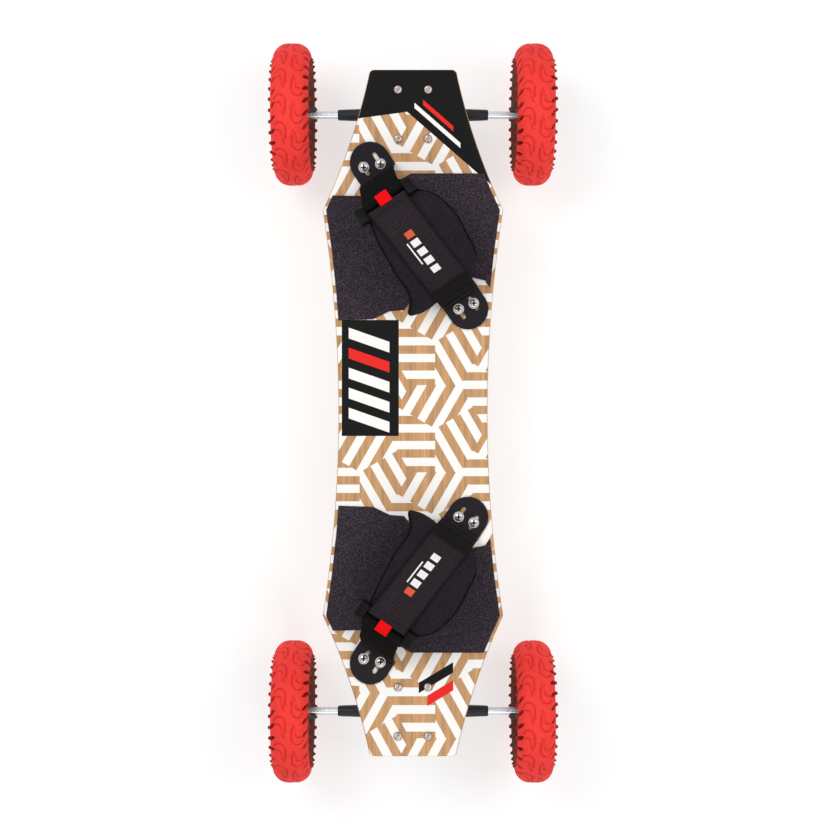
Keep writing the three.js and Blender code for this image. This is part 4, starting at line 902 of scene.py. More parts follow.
bolt_steel = Finish("dull_stainless", metallic=1.0)
smear = bolt_steel.speckle(ink(164, 152, 148), 0.1, 1.8, 600, 3.0, 0.6)
bolt_steel.set(roughness=0.18 + smear * 0.25)

# Copies of one object at each point of a mesh, such as bolts and nuts.
copies_at_points = Pattern("copies_at_points", Copy="Object")
inputs = {"Object": copies_at_points.given["Copy"]}
one = copies_at_points.node("GeometryNodeObjectInfo", (), inputs, "Geometry")
copies_at_points.place_copies(copies_at_points.given["Geometry"], one)


def line_object(name, lines):
    """An object of bare edges along lists of points, for a pattern to follow."""
    points, edges = [], []
    for line in lines:
        edges += [(len(points) + i, len(points) + i + 1) for i in range(len(line) - 1)]
        points += line
    return add_mesh(name, points, [], edges=edges)


def at_spots(name, spots, shape, finish):
    """Copies of a shape at spots of the truck's frame."""
    one = solid("one", shape, finish)
    made = copies_at_points.run(line_object(name, [[spot] for spot in spots]), finish, Copy=one)
    bpy.data.objects.remove(one)
    return sharpen(made, 35)


def rounded_plate(width, length, corner, low, high, edge):
    """A plate with round corners and softened edges."""
    rings = []
    for z, inset in ((low, edge), (low + edge * 0.3, edge * 0.3), (low + edge, 0), (high, 0)):
        rings.append([])
        for quarter, (sx, sy) in enumerate(((1, 1), (-1, 1), (-1, -1), (1, -1))):
            for angle in np.linspace(0, math.pi / 2, 6) + math.pi / 2 * quarter:
                x = sx * (width / 2 - corner) + (corner - inset) * math.cos(angle)
                y = sy * (length / 2 - corner) + (corner - inset) * math.sin(angle)
                rings[-1].append(Vector((x, y, z)))
    return loft(rings)


def add_voxels(piece, size):
    remesh = piece.modifiers.new("voxels", "REMESH")
    remesh.mode, remesh.voxel_size = "VOXEL", size


def add_smoothing(piece, factor, passes):
    smooth = piece.modifiers.new("smooth", "SMOOTH")
    smooth.factor, smooth.iterations = factor, passes


def only_finish(piece, finish):
    piece.data.materials.clear()
    piece.data.materials.append(finish.material)
    piece.data.polygons.foreach_set("material_index", [0] * len(piece.data.polygons))
    return piece


def cast(name, shape, voxel, passes):
    """One cast body from overlapping shapes, with small fillets where they meet."""
    body = mesh_object(name, shape, cast_paint)
    add_voxels(body, voxel)
    add_smoothing(body, 0.6, passes)
    only_finish(applied(body), cast_paint).data.shade_smooth()
    return body


def on_kingpin(outline, segments=28, closed=False):
    return turned(outline, segments, closed, start=KINGPIN_FOOT)


def make_baseplate():
    """The plate with the kingpin's seat, the pivot's boss, two ribs and pads under the nuts."""
    seat = [(0, -3), (20, -3), (17.6, -8), (14.2, -16), (13.4, -17), (0, -17)]
    boss = [(10.7, -8.5), (13.8, -8.5), (14.6, -7.5), (14.6, 13), (10.7, 13)]
    pad = [(0, -3), (7.5, -3), (7, -7.6), (0, -7.6)]
    rib_turn = Matrix.Rotation(math.radians(-20), 3, "X")
    shapes = [
        rounded_plate(54, 90, 4, -7, -0.3, 1.2),
        on_kingpin(seat, 48),
        turned(boss, 48, True, start=PIVOT, axis=steer_axis),
        *[block((4, 34, 12), (x, 8, -8), rib_turn, 1.2) for x in (-9, 9)],
        *[turned(pad, 24, start=(x, y, 0)) for x, y in BOLT_SPOTS],
    ]
    body = cast("baseplate", joined(*shapes), CAST_VOXEL * 0.8, 3)
    work = bmesh.new()
    work.from_mesh(body.data)
    everything = work.verts[:] + work.edges[:] + work.faces[:]
    plane = {"plane_co": (0, 0, -0.4), "plane_no": (0, 0, 1)}
    cut = bmesh.ops.bisect_plane(work, geom=everything, clear_outer=True, **plane)
    rim = [e for e in cut["geom_cut"] if isinstance(e, bmesh.types.BMEdge)]
    bmesh.ops.holes_fill(work, edges=rim, sides=0)
    work.to_mesh(body.data)
    work.free()
    return sharpen(body, 45)


def socket_head():
    """A button head with a hexagon socket, and the shank under it."""
    head = [(2.9, 1.1), (2.9, 2.9), (3.4, 3.2), (4.6, 2.9), (5.6, 2), (6, 0.9), (6, 0.3), (3, 0.3)]
    points, faces = turned(head, 36)
    for i, point in enumerate(points):
        if i % len(head) < 2:
            angle = math.atan2(point.y, point.x)
            near = 2.5 / math.cos((angle % (math.pi / 3)) - math.pi / 6)
            point.x, point.y = near * math.cos(angle), near * math.sin(angle)
    bottom, shank = turned(rod(3.0, 1.1, 0.9), 12), turned(rod(3, 0.3, -26.4), 16)
    return joined((points, faces), bottom, shank)


def locknut(flats, height, bore, z, down=-1):
    """A hexagon with a round collar."""
    corner = flats / 2 / math.cos(math.pi / 6)
    hexagon = [(corner * 0.93, 0), (corner, 0.07), (corner, 0.68), (corner * 0.88, 0.74)]
    collar = [(flats * 0.44, 0.7), (flats * 0.42, 0.94), (flats * 0.36, 1)]
    shapes = []
    for line, count in ((hexagon, 6), (collar, 24)):
        line = [(bore, line[0][1]), *line, (bore, line[-1][1])]
        line = [(r, down * height * h) for r, h in line]
        shapes.append(turned(line, count, True, start=(0, 0, z)))
    return joined(*shapes)


def moved(shape, matrix):
    return [matrix @ point for point in shape[0]], shape[1]


def make_truck_bolts():
    heads = at_spots("bolts", [(*spot, 13) for spot in BOLT_SPOTS], socket_head(), bolt_steel)
    nut_spots = [(*spot, -7.3) for spot in BOLT_SPOTS]
    return merged(heads, at_spots("nuts", nut_spots, locknut(10, 6, 2.6, 0), plated_steel))


def make_kingpin():
    head = [(0, -0.6), (8.6, -0.6), (9.2, -1.2), (9.2, -5.6), (0, -5.6)]
    shank = [(0, -5), (5, -5), (5, -62)]
    for z in [-62 - turn * 1.4 for turn in range(9)]:
        shank += [(4.5, z - 0.35), (5, z - 0.7), (5, z - 1.05)]
    shank += [(4.3, -75.2), (3.6, -75.8), (0, -75.8)]
    return solid("kingpin", joined(on_kingpin(head, 6), on_kingpin(shank)), black_oxide)


def make_kingpin_nut():
    washer = [(5.4, -60.4), (11.2, -60.2), (11.6, -60.9), (11, -62.2), (9.6, -63), (5.4, -63)]
    nut = moved(locknut(17, 10, 4.6, -62.9), Matrix.Translation(KINGPIN_FOOT))
    return solid("kingpin_nut", joined(on_kingpin(washer, 36, True), nut), plated_steel)


def make_bushing(top, height):
    half = [(5.3, 0.6), (6, 0), (11.7, 0), (12.4, 0.8), (12.5, 1.8)]
    line = [*half, (11.5, height / 2), *[(r, height - z) for r, z in half[::-1]]]
    line = [(r, top - z) for r, z in line]
    return solid("bushing", on_kingpin(line, 40, True), urethane)


def make_pivot_cup():
    line = [(7.6, -9), (9.4, -9), (9.9, -8.4), (9.9, 9.6), (7.6, 9.6)]
    return solid("cup", turned(line, 36, True, start=PIVOT, axis=steer_axis), urethane)


def cone(start, end, first, last):
    length = (end - start).length
    outline = [(0, 0), (first, 0), (last, length), (0, length)]
    return turned(outline, 32, start=start, axis=(end - start).normalized())


def ball(radius, middle):
    """A ball from points every 30 degrees, to a tenth of a millimetre."""
    turns = np.radians(range(-90, 91, 30))
    line = [(round(radius * math.cos(a), 1), round(radius * math.sin(a), 1)) for a in turns]
    return turned(line, 28, start=middle)


def boxy(value, power):
    """A sine or cosine, made to turn a round outline boxy."""
    return math.copysign(abs(value) ** power, value)


def make_hanger():
    """The axle tube with its web, the ring between the bushings, and the arm with the nose."""
    tube = [(0, 0), (9.6, 0), (9.5, 20), (8.9, 70), (8, 98), (7.6, 106.6), (6.8, 107.5), (0, 107.5)]
    ring = [(8.4, -6), (15.6, -6), (16.5, -5), (16.5, 5), (15.6, 6), (8.4, 6)]
    rows = []
    for way in np.linspace(0, 1, 9):
        centre = (RING_MIDDLE + Vector((0, 7, -1))).lerp(AXLE_MIDDLE, way)
        wide, thick = 13 + 31 * way**2.6, Vector((0, 0.66, 0.75)) * (7.2 - 1.2 * way)
        rows.append([
            centre + Vector((wide * boxy(math.cos(a), 0.6), 0, 0))
            + thick * boxy(math.sin(a), 0.7)
            for a in np.linspace(0, 2 * math.pi, 28, endpoint=False)
        ])
    shapes = [loft(rows), turned(ring, 56, True, start=RING_MIDDLE)]
    for side in (-1, 1):
        low = RING_MIDDLE + Vector((side * 15, -3, -0.5))
        knee, foot = Vector((side * 23, -12, -49)), AXLE_MIDDLE + Vector((side * 36, 0, 1))
        shapes += [cone(low, knee, 4.6, 6.5), cone(knee, foot, 6.5, 7)]
        shapes.append(turned(tube, 40, start=AXLE_MIDDLE, axis=(side, 0, 0)))
    root = PIVOT - steer_axis * 14
    shapes += [cone(AXLE_MIDDLE, root, 9, 7.2), cone(root, PIVOT, 7, 7)]
    shapes += [ball(7, PIVOT), ball(7.2, root)]
    return cast("hanger", joined(*shapes), CAST_VOXEL, 4)


def make_axle():
    """A rod with a thread at each end."""
    line = [(0, AXLE_HALF), (4.6, AXLE_HALF), (5.2, AXLE_HALF - 0.9)]
    for turn in range(THREAD_TURNS):
        z = AXLE_HALF - 1.0 - turn * THREAD_PITCH
        line += [(6, z), (6, z - 0.5), (5.5, z - 0.8), (5.5, z - 1.0)]
    line = [(r, -z) for r, z in line] + line[::-1]
    return solid("axle", turned(line, 32, start=AXLE_MIDDLE, axis=(1, 0, 0)), plated_steel)


truck_parts = {
    "baseplate": (make_baseplate(), "black_metal", "baseplate"),
    "truck_bolts": (make_truck_bolts(), "steel"),
    "kingpin": (make_kingpin(), "steel", "kingpin"),
    "kingpin_nut": (make_kingpin_nut(), "steel", "kingpin_nut"),
    "boardside_bushing": (make_bushing(-17.3, 15.5), "bushing", "boardside_bushing"),
    "roadside_bushing": (make_bushing(-45.4, 14.5), "bushing", "roadside_bushing"),
    "pivot_cup": (make_pivot_cup(), "bushing", "pivot_cup"),
}
hanger_parts = {
    "hanger": (make_hanger(), "black_metal", "hanger"),
    "axle": (make_axle(), "steel", "axle"),
}
foot_y = DECK_HALF - TRUCK_FROM_TIP * MM - DECK_THICKNESS * math.sin(TIP_ANGLE)
foot = Matrix.Translation(over_deck(0, foot_y, -DECK_THICKNESS))
foot = foot @ Matrix.Rotation(TIP_ANGLE, 4, "X") @ Matrix.Scale(MM, 4)
for end, sign in (("front", 1), ("rear", -1)):
    place = Matrix.Rotation(0 if sign > 0 else math.pi, 4, "Z") @ foot
    settle_copies(truck_parts, end, place, "deck_body")
    settle_copies(hanger_parts, end, place, f"{end}_hanger_body")
    for side in (-1, 1):
        owner = f"{end}_{'right' if side * sign > 0 else 'left'}_axle_nut"
        seat = Matrix.Translation(AXLE_MIDDLE + Vector((side * AXLE_NUT_X, 0, 0)))
        seat = seat @ Matrix.Rotation(math.radians(90 * side), 4, "Y")
        nut = solid(owner + "_look", moved(locknut(19, 9, 6.1, 0, 1), seat), plated_steel)
        settle(nut, place, f"{end}_hanger_body", "steel", owner)
clear_away({**truck_parts, **hanger_parts})

# ---- Bindings ---------------------------------------------------------------------------------
# A padded webbing arch over each foot. A moulded anchor at each end is screwed to the deck through
# slots, and a plastic ring with a red pull tab joins the lower webbing to the printed strap.

# A binding is made in mm on the front half's deck top, from its outer anchor at 0 along x.
BINDING_START, BINDING_ANGLE = (-57.0, 345.4), math.radians(-56.2)
ANCHOR_SPACING, ANCHOR_HALF, OUTER_LIP = 236.0, 28.0, 16.3
PLATE_TOP, SCREW_ACROSS = 3.4, 11.0
ARCH_TOP, ARCH_HEIGHT, ARCH_POWER = OUTER_LIP + 110, 88.0, 2 / 2.3
BAR_FROM_MIDDLE, BAR_HALF, BAR_LIFT, LUG_FROM_MIDDLE, SKEW = 7.5, 40.0, 3.3, 37.8, 17.0
WEBBING_WIDTH, LOWER_WIDTH, WEBBING_THICKNESS = 58.5, 54.0, 2.6
# Webbing that the arch's length leaves out: round the ring's bar, sewn back, and in the folds.
LABEL_FROM_RING, NO_LABEL = 78.0, -400.0
# Shares of the way over the arch: where a band starts, ends, is doubled or folds, the ring and its
# bars, and the rows of pale thread.
LOWER_START, RING_SHARE, STRAP_END = 0.035, 0.322, 0.985
DOUBLED_UP_TO, DOUBLED_FROM, FOLD_STEP = 0.466, 0.865, 0.078
BAR_STEP = BAR_FROM_MIDDLE / (math.pi * ARCH_HEIGHT)
TACK_START, TACK_STEP, TACK_ROWS = 0.384, 0.0128, 6
# Share of the way over the arch, and the pad's left and right edge as shares of the webbing.
PAD_EDGES = np.array([
    (0.168, -0.71, 0.21), (0.239, -0.79, 0.36), (0.325, -0.87, 0.48), (0.379, -0.92, 0.73),
    (0.427, -0.97, 0.84), (0.5, -1.01, 0.93), (0.578, -1.04, 0.91), (0.675, -1.02, 0.87),
    (0.735, -1.05, 0.82), (0.79, -1.16, 0.66), (0.849, -1.3, 0.54), (0.913, -1.07, 0.45),
])
PAD_START, PAD_END = PAD_EDGES[0, 0], PAD_EDGES[-1, 0]
PAD_THICKNESS, PAD_VOXEL, PAD_PRESSURE, PAD_SWELL, PAD_FRAMES = 9.0, 2.6, 4.0, 5.0, 20
PAD_INWARD = WEBBING_THICKNESS + 0.6 + PAD_THICKNESS / 2
PIPING_RADIUS, PIPING_STANDS_OUT = 1.7, 1.3
# Pitch, length and radius of a stitch, and how far a thread lies over the webbing.
STITCH, TAB_STITCH, THREAD_OVER = (3.2, 2.3, 0.42), (2.6, 1.8, 0.35), 0.1


def arch_point(share, t, inward):
    """A point of the arch, moved inward from the webbing's outer face."""
    turn = math.pi * share
    inner_lip = ANCHOR_SPACING - OUTER_LIP
    span = (ARCH_TOP - OUTER_LIP if turn < math.pi / 2 else inner_lip - ARCH_TOP) - inward
    x = ARCH_TOP - span * boxy(math.cos(turn), ARCH_POWER)
    return Vector((x, t, (ARCH_HEIGHT - inward) * math.sin(turn) ** ARCH_POWER))


def skew_at(share):
    """How far the ring pulls the arch to the side."""
    near = share / (RING_SHARE - BAR_STEP)
    if share >= RING_SHARE:
        near = (1 - share) / (1 - RING_SHARE - BAR_STEP)
    return -SKEW * min(1.0, near)


def woven(name, colour):
    """A woven webbing with ribs across it, the place along and across the band, and its cloth."""
    finish = Finish(name, 0.9, 0.12)
    place = finish.node("ShaderNodeUVMap", {"uv_map": "weave"})
    run, over, unused = finish.parts(place)
    rib = ((run * (2 * math.pi / (1.5 * MM))).sine() + 1) * 0.5
    twill = (((run + over * 2) * (2 * math.pi / (2.4 * MM))).sine() + 1) * 0.5
    fuzz = finish.noise((700, 2600, 1), 3.0, 0.7, place)
    cloud = finish.noise((60, 160, 1), 4.0, 0.7, place)
    slub = finish.noise((420, 280, 1), 2.0, 0.6, place)
    level = rib * 0.18 + twill * 0.12 + fuzz * 0.55 + cloud * 0.6 + slub * 1.6 - 0.5
    finish.bump(rib * 0.5 + twill * 0.5 + fuzz * 0.6, 0.35 * MM, 0.7)
    return finish, run, over, finish.shade(colour, level)


# The strap's print is a red block, white bars and a fine line. Its steep end and its long edges are
# painted dark as painted shade.
webbing_cloth, run, over, cloth = woven("woven_webbing", ink(38, 31, 36))
# Painted shade: the strap darkens towards its steep end.
steep_end_shade = ((run - 52 * MM) / (6 * MM)).held()
# Painted shade along both long edges of the strap.
edge_shade = ((abs(over) - 26.6 * MM) / (1.2 * MM)).held()
cloth = webbing_cloth.mix(steep_end_shade | edge_shade * 0.75, cloth, ink(15, 13, 13))


def printed(first, last, low=-7.5, high=4.5):
    """A printed field of the strap, in mm from the label's middle."""
    return run.between(first * MM, last * MM) & over.between(low * MM, high * MM)


white_bars = printed(-22, 36) & (((run + 22 * MM) / (14.5 * MM)) % 1.0 < 0.68)
label = webbing_cloth.mix(white_bars | printed(-22, 12, -13, -11), cloth, ink(236, 234, 232))
webbing_cloth.set(base_color=webbing_cloth.mix(printed(-36, -26), label, ink(214, 92, 62)))
lower_cloth, run, over, cloth = woven("black_webbing", ink(8, 7, 7))
lower_cloth.set(base_color=cloth)

pad_cloth = Finish("foam_backed_knit", 0.95, 0.12)
knit, nap = pad_cloth.noise(1400, 2.0, 0.6), pad_cloth.noise(330, 2.0, 0.6)
pad_tone = knit * 0.5 + nap * 1.5 + pad_cloth.noise(35, 3.0) * 0.5 - 0.25
pad_cloth.set(base_color=pad_cloth.shade(ink(31, 28, 34), pad_tone))
pad_cloth.bump(knit, 0.25 * MM, 0.6)

piping_cloth = Finish("piping", 0.85, 0.08)
piping_cloth.speckle(ink(15, 13, 15), 0.8, 0.4, 800)
thread, dark_thread = Finish("thread", 0.7, 0.2), Finish("dark_thread", 0.7, 0.2)
thread.speckle(ink(52, 45, 50), 0.8, 0.4, 2000)
dark_thread.speckle(ink(18, 16, 18), 0.8, 0.4, 2000)
tab_cloth = Finish("red_tab", 0.8, 0.1)
tab_cloth.speckle(ink(236, 8, 15), 0.8, 0.4, 600, 3.0)
ring_plastic = Finish("black_acetal", 0.45, 0.1)
ring_plastic.speckle(ink(9, 9, 11), 0.7, 0.6, 500)
anchor_plastic = Finish("anchor_plastic", 0.5, 0.15)
anchor_plastic.speckle(ink(20, 13, 20), 0.3, 1.3, 240, 4.0, 0.65)
anchor_plastic.bump(anchor_plastic.noise(1600), 0.1 * MM, 0.4)
bright_screw = Finish("bright_screw", metallic=1.0)
swirl = bright_screw.speckle(ink(186, 182, 180), 0.85, 0.3, 700, 3.0)
bright_screw.set(roughness=0.22 + swirl * 0.2)
# Painted shade: a dark finish for the cross recess of the anchor screws.
recess_dirt = Finish("recess_dirt", 0.8, 0.1)
recess_dirt.speckle(ink(52, 48, 50), 0.7, 0.6, 1500)

# Stitches: short threads at even steps along a line.
stitch_row = Pattern("stitch_row", Pitch="Float", Length="Float", Radius="Float")
given = stitch_row.given
seam = stitch_row.node("GeometryNodeMeshToCurve", (), {0: given["Geometry"]})
inputs = {0: seam, "Length": given["Pitch"]}
seam = stitch_row.node("GeometryNodeResampleCurve", {"mode": "LENGTH"}, inputs)
inputs = {"Vertices": 6, "Radius": given["Radius"], "Depth": given["Length"]}
stitch = stitch_row.node("GeometryNodeMeshCylinder", (), inputs)
inputs = {"Vector": stitch_row.node("GeometryNodeInputTangent")}
facing = stitch_row.node("FunctionNodeAlignRotationToVector", {"axis": "Z"}, inputs)
stitch_row.place_copies(seam, stitch, Rotation=facing)

# Piping: a round cord of cloth along a line.
piping_line = Pattern("piping_line", Radius="Float")
given = piping_line.given
path = piping_line.node("GeometryNodeMeshToCurve", (), {0: given["Geometry"]})
inputs = {"Resolution": 8, "Radius": given["Radius"]}
cord = piping_line.node("GeometryNodeCurvePrimitiveCircle", (), inputs)
inputs = {"Curve": path, "Profile Curve": cord, "Fill Caps": True}
piping_line.end(piping_line.node("GeometryNodeCurveToMesh", (), inputs))


def band(name, shares, half_width, outer_lift, label_at, finish):
    """A webbing band along the arch, and its length. outer_lift gives how far its outer face
    stands out, and label_at how far along it the label's middle is."""
    columns = [-1, -0.985, -0.95, -0.88, -0.7, -0.4, 0, 0.4, 0.7, 0.88, 0.95, 0.985, 1]
    roundings = [0.7 * max(0.0, abs(c) - 0.93) / 0.07 for c in columns]
    rings, weave = [], []
    travelled, before = 0.0, arch_point(shares[0], 0, 0)
    for share in shares:
        centre = arch_point(share, 0, 0)
        travelled, before = travelled + (centre - before).length, centre
        across = [c * half_width(share) for c in columns]
        places = [(c, skew_at(share) + a, r) for c, a, r in zip(columns, across, roundings)]
        outer = [arch_point(share, t, r - outer_lift(share, c)) for c, t, r in places]
        inner = [arch_point(share, t, WEBBING_THICKNESS - r) for c, t, r in places]
        rings.append(outer + inner[::-1])
        weave += [((travelled - label_at) * MM, a * MM) for a in across + across[::-1]]
    piece = mesh_object(name, loft(rings), finish)
    unroll(piece, "weave", weave)
    return sharpen(piece, 50), travelled


# The ring's own axes: along the arch, and out of it.
ring_middle, ring_ahead = [
    arch_point(share, skew_at(RING_SHARE), -BAR_LIFT) for share in (RING_SHARE, RING_SHARE + 0.004)
]
ring_along = (ring_ahead - ring_middle).normalized()
ring_out = ring_along.cross(Vector((0, 1, 0)))
ring_turn = Matrix((ring_along, (0, 1, 0), ring_out)).transposed()


def on_ring(along, t, out):
    return ring_middle + ring_along * along + Vector((0, t, 0)) + ring_out * out


def with_eye(piece, side, finish):
    """A band, and its end that is sewn round one bar of the ring, in the same weave."""
    half = WEBBING_WIDTH / 2
    tube = [(3.5, -half), (5.6, -half), (5.9, 0.6 - half)]
    tube += [(r, -t) for r, t in tube[::-1]]
    middle = on_ring(side * BAR_FROM_MIDDLE, 0, 0)
    eye = solid("eye", turned(tube, 28, True, start=middle, axis=(0, 1, 0)), finish, 50)
    points = [v.co * MM for v in eye.data.vertices]
    unroll(eye, "weave", [(NO_LABEL * MM + p.x, p.y + SKEW * MM) for p in points])
    return merged(piece, eye)


def onto_eye(distance):
    """How a band rises to the sewn eye at a distance from it."""
    return 7.2 * max(0.0, 1 - distance / 0.05) ** 2


def strap_lift(share, c):
    """The strap is doubled where its ends are sewn, and its middle stands a little proud."""
    doubled = max(held((DOUBLED_UP_TO - share) / 0.006), held((share - DOUBLED_FROM) / 0.006))
    return 1.5 * doubled + onto_eye(share - RING_SHARE - BAR_STEP) + 0.5 * (1 - c * c)


def lower_lift(share, c):
    """The lower webbing lies in three folds, each over the next."""
    fold = ((share - LOWER_START) / FOLD_STEP) % 1.0
    lift = 2.6 * (1 - fold) * min(1.0, fold / 0.12) + 0.6 * (1 - c * c)
    return lift * held((share - LOWER_START) / 0.02) + onto_eye(RING_SHARE - BAR_STEP - share)


def strap_half(share):
    """The strap is equally wide at every share."""
    return WEBBING_WIDTH / 2


def lower_half(share):
    """The lower webbing widens from the anchor to the ring."""
    way = (share - LOWER_START) / (RING_SHARE - BAR_STEP - LOWER_START)
    return (LOWER_WIDTH + (WEBBING_WIDTH - LOWER_WIDTH) * way) / 2


def pad_edges(share, inset=0.0):
    """The pad's left and right edge, drawn together at its two ends."""
    shares, *edges = PAD_EDGES.T
    left, right = [np.interp(share, shares, edge) * WEBBING_WIDTH for edge in edges]
    corner = 7.0 * (1 - held(min(share - PAD_START, PAD_END - share) / 0.03)) ** 2
    return left + corner + inset, right - corner - inset


def pad_shell(inset, rows=44, columns=22):
    """The pad's closed shell, thinner towards its edges."""
    rings = []
    for row in range(rows):
        share = PAD_START + (PAD_END - PAD_START) * row / (rows - 1)
        left, right = pad_edges(share, inset)
        full = min(1.0, 0.55 + 0.45 * min(row, rows - 1 - row) / 2)
        outer, inner = [], []
        for t in [left + (right - left) * column / columns for column in range(columns + 1)]:
            from_edge = min(1.0, min(t - left, right - t) / 9)
            crown = math.sqrt(max(0.0, 1 - (1 - from_edge) ** 2))
            half = PAD_THICKNESS / 2 * (0.5 + 0.5 * crown) * full - inset / 2
            outer.append(arch_point(share, t, PAD_INWARD - half))
            inner.append(arch_point(share, t, PAD_INWARD + half))
        rings.append(outer + inner[::-1])
    return loft(rings)


def make_pad():
    """Foam in a knit cover: the cover is blown up as cloth and held down under the strap."""
    pad = mesh_object("pad", pad_shell(0.5), pad_cloth)
    add_voxels(pad, PAD_VOXEL)
    applied(pad).data.transform(Matrix.Scale(MM, 4))
    start = np.array([v.co[:] for v in pad.data.vertices])
    cover = pad.modifiers.new("cloth", "CLOTH").settings
    cover.use_pressure, cover.uniform_pressure_force = True, PAD_PRESSURE
    cover.effector_weights.gravity, cover.quality = 0, 5
    for now in range(1, PAD_FRAMES + 1):
        scene.frame_set(now)
    applied(pad)
    scene.frame_set(1)
    move = (np.array([v.co[:] for v in pad.data.vertices]) - start) / MM
    length = np.linalg.norm(move, axis=1, keepdims=True)
    move *= np.minimum(1.0, PAD_SWELL / np.maximum(length, 1e-9))
    for vertex, point, shift in zip(pad.data.vertices, start / MM, move):
        at = held((point[0] - OUTER_LIP) / (ANCHOR_SPACING - 2 * OUTER_LIP))
        middle = skew_at(min(0.98, math.acos(1 - 2 * at) / math.pi))
        free = held((abs(point[1] - middle) - WEBBING_WIDTH / 2 - 1.0) / 9.0)
        outward = Vector((point[0] - ARCH_TOP, 0, point[2])).normalized()
        rise = max(0.0, Vector(shift) @ outward)
        vertex.co = Vector(point + shift) - outward * rise * (1 - free)
    add_smoothing(pad, 0.5, 4)
    finer = pad.modifiers.new("finer", "SUBSURF")
    finer.levels = finer.render_levels = 1
    applied(pad).data.shade_smooth()
    return pad


def pad_rim(pad):
    """The line round the pad's edge, drawn onto the cover where the simulation left it."""
    tree = KDTree(len(pad.data.vertices))
    for vertex in pad.data.vertices:
        tree.insert(vertex.co, vertex.index)
    tree.balance()
    shares = np.linspace(PAD_START, PAD_END, 60)
    edges = [(s, pad_edges(s)[1] + 0.6) for s in shares]
    edges += [(s, pad_edges(s)[0] - 0.6) for s in shares[::-1]]
    rim = np.array([tree.find(arch_point(*edge, PAD_INWARD))[0] for edge in edges])
    padded = np.vstack([rim[-2:], rim, rim[:2]])
    rim = sum(padded[k : k + len(rim)] for k in range(5)) / 5
    middles = [arch_point(s, sum(pad_edges(s)) / 2, PAD_INWARD) for s, t in edges]
    outward = [(Vector(p) - middle).normalized() for p, middle in zip(rim, middles)]
    rim = [Vector(p) + way * PIPING_STANDS_OUT for p, way in zip(rim, outward)]
    return [*rim, rim[0]]


def from_anchor(is_outer, along, t):
    """A point of the front half's plan, measured from an anchor towards the other one."""
    s = along if is_outer else ANCHOR_SPACING - along
    cos, sin = math.cos(BINDING_ANGLE), math.sin(BINDING_ANGLE)
    return BINDING_START[0] + s * cos - t * sin, BINDING_START[1] + s * sin + t * cos


def on_deck(piece, name, end, slot, *nodes):
    """Bends a piece that is flat in plan onto the deck of one end, and hangs it under the deck's
    body.
    """
    for vertex in piece.data.vertices:
        x, y, h = vertex.co * MM
        vertex.co = over_deck(x, end * y, h)
    if end < 0:
        piece.data.flip_normals()
    piece.name = name
    settle(piece, Matrix.Identity(4), "deck_body", slot, *nodes)


def half_circle(x, y, radius, side, count):
    turns = np.linspace(0, math.pi, count) + side * math.pi / 2
    return [(x + radius * math.cos(a), y + radius * math.sin(a)) for a in turns]


def make_anchor(is_outer):
    """A moulded plate with a round tail and two slots, and the lip that holds the webbing."""
    curve = bpy.data.curves.new("anchor", "CURVE")
    curve.dimensions, curve.fill_mode = "2D", "BOTH"
    curve.extrude, curve.bevel_depth, curve.bevel_resolution = 1.0, 0.5, 2
    half = ANCHOR_HALF
    front = [(15.5, -half), (16, 0.5 - half), (16, half - 0.5), (15.5, half)]
    outlines = [half_circle(-4.5, 0, half, 1, 33) + front]
    for t in (-SCREW_ACROSS, SCREW_ACROSS):
        outlines.append(half_circle(5.5, t, 3.5, -1, 9) + half_circle(-10.5, t, 3.5, 1, 9))
    for outline in outlines:
        spline = curve.splines.new("POLY")
        spline.points.add(len(outline) - 1)
        spline.use_cyclic_u = True
        for point, (along, t) in zip(spline.points, outline):
            point.co = (along, t, 0, 1)
    drawn = add_object("outline", curve)
    plate = add_object("anchor", evaluated_mesh(drawn))
    bpy.data.objects.remove(drawn)
    plate.data.transform(Matrix.Translation((0, 0, 1.8)))
    lip = solid("lip", block((3, 2 * half, 18.5), (14.5, 0, 10.6)), anchor_plastic)
    merged(plate, lip)
    work = bmesh.new()
    work.from_mesh(plate.data)
    bmesh.ops.remove_doubles(work, verts=work.verts, dist=0.002)
    for cut in range(-32, 16, 6):
        everything = work.verts[:] + work.edges[:] + work.faces[:]
        bmesh.ops.bisect_plane(work, geom=everything, plane_co=(cut, 0, 0), plane_no=(1, 0, 0))
    for vertex in work.verts:
        vertex.co.xy = from_anchor(is_outer, *vertex.co.xy)
    bmesh.ops.recalc_face_normals(work, faces=work.faces)
    work.to_mesh(plate.data)
    work.free()
    return sharpen(only_finish(plate, anchor_plastic), 30)


def dome(radius):
    """The height of a screw's head over the plate."""
    return 1.1 + 3.0 * math.sqrt(max(0.0, 1 - (radius / 6.4) ** 2))


def screw_head():
    """A pan head with a cross recess, on a washer."""
    radii = [0.01, 0.8, 1.3, 2.2, 3.2, 3.9, 4.8, 5.6, 6.0, 6.1]
    points, faces = turned([*[(r, dome(r)) for r in radii], (6.1, 1.0)], 32)
    for point in points:
        if min(abs(point.x), abs(point.y)) < 0.8 and math.hypot(point.x, point.y) < 3.5:
            point.z -= 1.8
    washer = [(0, 0), (7.4, 0), (7.5, 0.2), (7.5, 0.8), (7.2, 1.0), (0, 1.0)]
    return joined((points, faces), turned(washer, 32))


